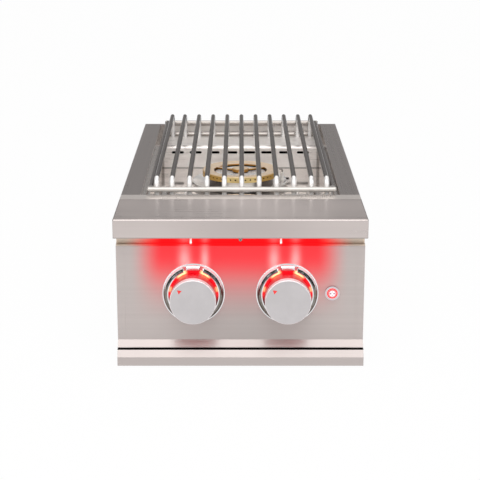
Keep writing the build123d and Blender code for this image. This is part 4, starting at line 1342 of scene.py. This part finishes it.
@dataclass
class Burner:
    """One ring burner: brass cap, steel cup and hat, drip bowl, tube and electrode with its bracket."""

    place: str
    brass: Colour = srgb(255, 226, 158)
    # Painted reflection: the brass and cup flank colours go on the side-facing faces of the cap and the cup.
    brass_flank: Colour = srgb(244, 198, 112)
    bright: Colour = srgb(254, 252, 251)
    cup_flank: Colour = srgb(132, 124, 120)
    rings: float = 700.0
    stretch: float = 0.9
    ceramic: Ceramic = Ceramic("ceramic_white", srgb(226, 220, 216), 0.6, 0.0)
    wire: PolishedMetal = PolishedMetal("electrode_steel", srgb(150, 146, 142), 0.3)
    plate: PolishedMetal = PolishedMetal("bracket_steel", srgb(240, 236, 234), 0.3, 0.3, depth=0.04)
    bolt: PolishedMetal = PolishedMetal("bracket_bolt_dark", srgb(70, 66, 64), 0.4)
    plate_reach: float = 12.0 * MM
    plate_half: float = 5.0 * MM
    plate_thick: float = 1.2 * MM
    plate_edge: float = 0.2 * MM
    plate_ends: Tuple[Tuple[float, float, float], ...] = ((-90.0, 0.55, 1.0), (90.0, 0.0, 1.1))
    plate_steps: int = 9
    bolt_place: float = 0.7
    bolt_size: float = 2.6 * MM
    bolt_edge: float = 0.25 * MM

    def build(self) -> None:
        """Dress each piece of the burner and bracket its electrode."""
        low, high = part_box(f"burner_cap_{self.place}")
        centre = ((low.x + high.x) / 2, (low.y + high.y) / 2, 0.0)
        cap = CapBrass(
            f"brass_turned_{self.place}", self.brass, 0.22, 0.5, centre=centre, depth=0.04,
            stretch=0.7, groove=0.0, count=self.rings, flank=self.brass_flank
        )
        dress(cap, f"burner_cap_{self.place}")
        spun = (
            ("cup", "burner_cup", 0.3, 1.0, self.cup_flank),
            ("bowl", "drip_bowl", 0.2, 0.5, None),
            ("hat", "burner_hat", 0.3, 0.35, None),
        )
        for word, node, roughness, metallic, flank in spun:
            finish = TurnedMetal(
                f"steel_{word}_{self.place}", self.bright, roughness, metallic, centre, depth=0.03,
                count=self.rings, stretch=self.stretch, groove=0.0, flank=flank
            )
            dress(finish, f"{node}_{self.place}")
        dress(STEEL_TUBE, f"mixing_tube_{self.place}")
        dress(self.ceramic, f"electrode_insulator_{self.place}")
        dress(self.wire, f"electrode_wire_{self.place}")
        self.add_bracket()

    def add_bracket(self) -> None:
        """Hold the insulator with a bolted plate on the rim of the drip bowl."""
        low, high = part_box(f"electrode_insulator_{self.place}")
        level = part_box(f"drip_bowl_{self.place}")[1].z
        hub = Vector(((low.x + high.x) / 2, (low.y + high.y) / 2, level))
        outline = []
        for start, shift, bulge in self.plate_ends:
            for step in range(self.plate_steps):
                turn = math.radians(start + 180.0 * step / (self.plate_steps - 1))
                across = self.plate_reach * shift + self.plate_half * bulge * math.cos(turn)
                outline.append(hub + Vector((across, self.plate_half * math.sin(turn), 0.0)))
        mesh = bmesh.new()
        add_prism(mesh, outline, Vector((0.0, 0.0, self.plate_thick)), self.plate_edge)
        add_piece(f"electrode_bracket_{self.place}", mesh, self.plate, "unit")
        middle = hub + Vector((self.plate_reach * self.bolt_place, 0.0, self.plate_thick))
        head = round_outline(middle, self.bolt_size, 6, flat=True)
        mesh = bmesh.new()
        add_prism(mesh, head, Vector((0.0, 0.0, self.bolt_size)), self.bolt_edge)
        add_piece(f"bracket_bolt_{self.place}", mesh, self.bolt, "unit")


@dataclass
class GasTrain:
    """Manifold, inlet, valves, supply tubes and jets inside the body."""

    brass: PolishedMetal = PolishedMetal("valve_brass", BRASS, 0.3, depth=0.1)
    aluminium: PolishedMetal = PolishedMetal("aluminium_tube", srgb(200, 200, 202), 0.3)
    jet: TurnedMetal = TurnedMetal("jet_brass", BRASS, 0.3, axis=FORWARD)
    thread_start: float = 0.6 * MM
    thread_turns: float = 6.0
    thread_pitch: float = 1.4 * MM
    thread_height: float = 0.5 * MM
    thread_profile: Tuple[Pair, ...] = ((0.45, -0.05), (0.12, 1.0), (-0.12, 1.0), (-0.45, -0.05))
    run_out: float = 12.0
    run_least: float = 0.05
    steps: int = 36

    def build(self) -> None:
        """Dress the gas train and thread its inlet."""
        dress(STEEL_TUBE, "gas_manifold", "inlet_pipe")
        dress(self.brass, "gas_valve_left", "gas_valve_right", "gas_inlet")
        dress(self.aluminium, "supply_tube_left", "supply_tube_right")
        dress(self.jet, "gas_jets")
        self.add_thread()

    def add_thread(self) -> None:
        """Wind a thread round the inlet's spigot."""
        mount = next(item for item in frame["record"]["mounts"] if item["name"] == "gas_inlet")
        middle = Vector(mount["pos_m"])
        radius = mount["dims"]["r_mm"] * MM
        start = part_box("gas_inlet")[1].y - self.thread_start
        mesh = bmesh.new()
        rows: List[List[bmesh.types.BMVert]] = []
        total = int(self.thread_turns * self.steps)
        for step in range(total + 1):
            turn = 2.0 * math.pi * step / self.steps
            back = start - self.thread_pitch * step / self.steps
            ease = min(1.0, step / self.run_out, (total - step) / self.run_out + self.run_least)
            row = []
            for along, out in self.thread_profile:
                reach = radius + out * self.thread_height * ease
                across, up = math.cos(turn) * reach, math.sin(turn) * reach
                spot = Vector((across, back + along * self.thread_pitch, up))
                row.append(mesh.verts.new(Vector((middle.x, 0.0, middle.z)) + spot))
            rows.append(row)
        sides = len(self.thread_profile)
        for near, far in zip(rows, rows[1:]):
            for index in range(sides):
                after = (index + 1) % sides
                mesh.faces.new((near[index], near[after], far[after], far[index]))
        mesh.faces.new(rows[0])
        mesh.faces.new(list(reversed(rows[-1])))
        add_piece("inlet_thread", mesh, self.brass, "unit")


@dataclass
class BodyBox:
    """Sides, rear and brace of the body, with the rear screws."""

    # Painted shade: the faces inside the body turn dark and lose their shine.
    sheet: BrushedSteel = BrushedSteel(
        "steel_body", scaled(STEEL, 0.97), 0.38, inner=(-0.4, 0.3183, 0.2, 0.3)
    )
    side: BrushedSteel = BrushedSteel(
        "steel_side", scaled(STEEL, 0.97), 0.38, grain=Grain.BACK, inner=(-0.4, 0.4, 0.1443, 0.3)
    )
    screw_inset: float = 4.0 * MM

    def build(self) -> None:
        """Dress the sheets and cross the rear screws."""
        dress(self.sheet, "rear_panel", "bottom_brace")
        dress(self.side, "side_panel_left", "side_panel_right")
        dress(SCREW_STEEL, "rear_screws")
        low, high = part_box("rear_screws")
        mesh = bmesh.new()
        for across in (low.x + self.screw_inset, high.x - self.screw_inset):
            for up in (low.z + self.screw_inset, high.z - self.screw_inset):
                add_cross(mesh, Vector((across, high.y, up)), Vector((0, 1, 0)), *SCREW_CROSS)
        add_piece("rear_screw_recesses", mesh, SCREW_RECESS, "unit")


@dataclass
class DripTray:
    """Drip tray, its bevelled front, runners and screws."""

    # Painted shade: the front is a darker copy of the hood steel, and the upward faces just behind its top
    # edge, seen through the gap under the panel, turn dark.
    front: BrushedSteel = BrushedSteel(
        "steel_tray_front", scaled(STEEL, 0.9), 0.34, depth=0.04,
        inner=(-0.3108, -0.305, 0.2, 0.3), inner_up=True
    )
    tray: BrushedSteel = BrushedSteel("steel_tray", srgb(190, 184, 180), 0.34, grain=Grain.BACK, stretch=0.5)
    screw_inset: float = 4.0 * MM
    middle_share: float = 0.494

    def build(self) -> None:
        """Dress the tray and cross the runner screws."""
        dress(self.front, "tray_front")
        dress(self.tray, "drip_tray", "tray_runner_left", "tray_runner_right")
        dress(SCREW_STEEL, "runner_screws")
        low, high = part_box("runner_screws")
        first, last = low.y + self.screw_inset, high.y - self.screw_inset
        level = (low.z + high.z) / 2
        mesh = bmesh.new()
        for along in (first, first + self.middle_share * (last - first), last):
            for across, outward in ((low.x, -1), (high.x, 1)):
                add_cross(mesh, Vector((across, along, level)), Vector((outward, 0, 0)), *SCREW_CROSS)
        add_piece("runner_screw_recesses", mesh, SCREW_RECESS, "unit")


@dataclass
class Grate:
    """Lift-off grate: bent bars on cross rods and side rods, with its welds."""

    bars: RodSteel = RodSteel("rod_heat_tint_and_reflection_dark", srgb(252, 250, 249), 0.16)
    front_rods: PolishedMetal = PolishedMetal("rod_bright", srgb(204, 200, 195), 0.18, 0.45, depth=0.05)
    # Painted shade: a darker copy of the rod steel for the rear rods.
    rear_rods: PolishedMetal = PolishedMetal("rod_rear_shaded", srgb(186, 180, 175), 0.14, depth=0.05)
    side_rods: RodSteel = RodSteel(
        "rod_side_dark", srgb(150, 145, 142), 0.2, bright_top=0.19, dark_from=0.196
    )
    weld: PolishedMetal = PolishedMetal("weld_grey", srgb(150, 146, 142), 0.4, depth=0.15)
    outer: float = 117.6 * MM
    pitch: float = 24.1 * MM
    inner_bars: int = 9
    rod: float = 3.5 * MM
    weld_size: Point = (1.5 * MM, 1.3 * MM, 2.4 * MM)
    weld_along: float = 0.94
    weld_beside: float = 0.62

    def build(self) -> None:
        """Dress the rods and add the weld beads where they cross."""
        dress(self.bars, "grate_bars")
        dress(self.front_rods, "grate_front_rods")
        dress(self.rear_rods, "grate_rear_rods")
        dress(self.side_rods, "grate_side_rods")
        edge = self.pitch * (self.inner_bars - 1) / 2
        low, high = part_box("grate_front_rods")
        middle = (low.x + high.x) / 2
        places = [middle - self.outer, middle + self.outer]
        places += [middle + self.pitch * step - edge for step in range(self.inner_bars)]
        mesh = bmesh.new()
        size = Vector(self.weld_size)
        beside = self.weld_beside * self.rod
        for node, toward in (("grate_front_rods", 1.0), ("grate_rear_rods", -1.0)):
            low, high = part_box(node)
            along = (low.y + high.y) / 2 + toward * self.weld_along * self.rod
            for level in (low.z + self.rod, high.z - self.rod):
                for across in places:
                    for spot in (across - beside, across + beside):
                        add_bead(mesh, Vector((spot, along, level)), size)
        add_piece("grate_welds", mesh, self.weld, "grate", smooth=True)


@dataclass
class Studio:
    """Pale floor, soft lights, sky and camera."""

    floor_size: float = 40.0
    floor_drop: float = 0.6 * MM
    floor_matt: Colour = (0.86, 0.86, 0.86)
    white: float = 0.97
    sky_colour: Colour = (1.0, 0.985, 0.975)
    sky_rise: Tuple[float, ...] = (0.25, 0.65, 0.3, 1.0)
    sky_side: Tuple[float, ...] = (0.3, 0.7, 1.0, 0.12)
    sky_top: Pair = (0.75, 0.92)
    sky_front: Pair = (-0.2, -0.6)
    sky_front_level: float = 0.95
    eye: Point = (-0.0006, -2.004, 0.655)
    pitch: float = 74.08
    lens: float = 102.3
    sensor: float = 36.0
    far: float = 200.0
    softboxes: Tuple[Tuple[str, Point, Point, Pair, float], ...] = (
        ("softbox_top", (0.0, -1.4, 1.7), (0.0, -0.3, 0.05), (1.8, 2.0), 17.5),
        ("softbox_left", (-1.7, -1.9, 1.2), (0.0, -0.2, 0.15), (1.0, 1.0), 9.0),
        ("softbox_right", (1.7, -1.9, 1.2), (0.0, -0.2, 0.15), (1.0, 1.0), 7.0),
    )

    def build(self) -> None:
        """Set the stage, the light and the camera."""
        bpy.context.scene.view_settings.view_transform = "Standard"
        self.add_floor()
        self.add_sky()
        for name, spot, target, size, power in self.softboxes:
            self.add_softbox(name, Vector(spot), Vector(target), size, power)
        self.add_camera()

    def add_floor(self) -> None:
        """Lay a pale floor that looks white and keeps a faint shadow."""
        half = self.floor_size / 2
        data = bpy.data.meshes.new("studio_floor")
        signs = ((-1, -1), (1, -1), (1, 1), (-1, 1))
        corners = [(half * across, half * back, -self.floor_drop) for across, back in signs]
        data.from_pydata(corners, [], [(0, 1, 2, 3)])
        floor = bpy.data.objects.new("studio_floor", data)
        bpy.context.scene.collection.objects.link(floor)
        material = bpy.data.materials.new("floor_white")
        material.use_nodes = True
        nodes = material.node_tree.nodes
        nodes.remove(nodes["Principled BSDF"])
        graph = Graph(material.node_tree, nodes["Material Output"])
        path = graph.add("LightPath").outputs
        seen = graph.math("MAXIMUM", path["Is Camera Ray"], path["Is Glossy Ray"])
        seen = graph.math("MAXIMUM", seen, path["Is Transmission Ray"])
        matt = graph.add("BsdfDiffuse", {"Color": self.floor_matt}).outputs[0]
        glow = graph.add("Emission", {"Color": WHITE, "Strength": 1.0}).outputs[0]
        both = graph.add("MixShader", {0: graph.times(seen, self.white), 1: matt, 2: glow})
        graph.give(Surface=both.outputs[0])
        data.materials.append(material)

    def add_sky(self) -> None:
        """Make a soft studio sky: pale in front and overhead, dim behind, dark at the sides."""
        world = bpy.data.worlds.new("studio_sky")
        world.use_nodes = True
        bpy.context.scene.world = world
        graph = Graph(world.node_tree, world.node_tree.nodes["Background"])
        across, back, up = graph.split(graph.add("TexCoord").outputs["Generated"])
        rise = graph.ramp(up, *self.sky_rise)
        side = graph.ramp(graph.math("ABSOLUTE", across), *self.sky_side)
        top = graph.ramp(up, *self.sky_top)
        level = graph.times(rise, graph.math("MAXIMUM", side, top))
        front = graph.times(graph.ramp(back, *self.sky_front), self.sky_front_level)
        colour = graph.blend(graph.math("MAXIMUM", level, front), BLACK, self.sky_colour)
        camera = graph.add("LightPath").outputs["Is Camera Ray"]
        graph.give(Color=graph.blend(camera, colour, WHITE), Strength=1.0)

    def add_softbox(self, name: str, spot: Vector, target: Vector, size: Pair, power: float) -> None:
        """Hang one soft light.

        Args:
            name: Name of the light.
            spot: Where it hangs.
            target: What it points at.
            size: Its width and height.
            power: Its power in watts.
        """
        data = bpy.data.lights.new(name, "AREA")
        data.shape = "RECTANGLE"
        data.size, data.size_y = size
        data.energy = power
        light = bpy.data.objects.new(name, data)
        light.location = spot
        light.rotation_euler = (target - spot).to_track_quat("-Z", "Y").to_euler()
        bpy.context.scene.collection.objects.link(light)

    def add_camera(self) -> None:
        """Stand the camera where the photograph was taken from."""
        data = bpy.data.cameras.new("photo_camera")
        data.lens = self.lens
        data.sensor_width = self.sensor
        data.clip_end = self.far
        camera = bpy.data.objects.new("photo_camera", data)
        camera.location = self.eye
        camera.rotation_euler = (math.radians(self.pitch), 0.0, 0.0)
        bpy.context.scene.collection.objects.link(camera)
        bpy.context.scene.camera = camera


def main() -> None:
    """Build the studio and each sub-assembly in order."""
    logging.basicConfig(level=logging.INFO, format="%(name)s: %(message)s")
    assemblies = [
        Studio(),
        Hood(),
        ControlFront(),
        KnobSet(Side.LEFT),
        KnobSet(Side.RIGHT),
        LightButton(),
        BurnerWell(),
        Burner("front"),
        Burner("rear"),
        GasTrain(),
        BodyBox(),
        DripTray(),
        Grate(),
    ]
    for assembly in assemblies:
        assembly.build()
        LOG.info("finished %s", type(assembly).__name__)


if __name__ == "__main__":
    main()
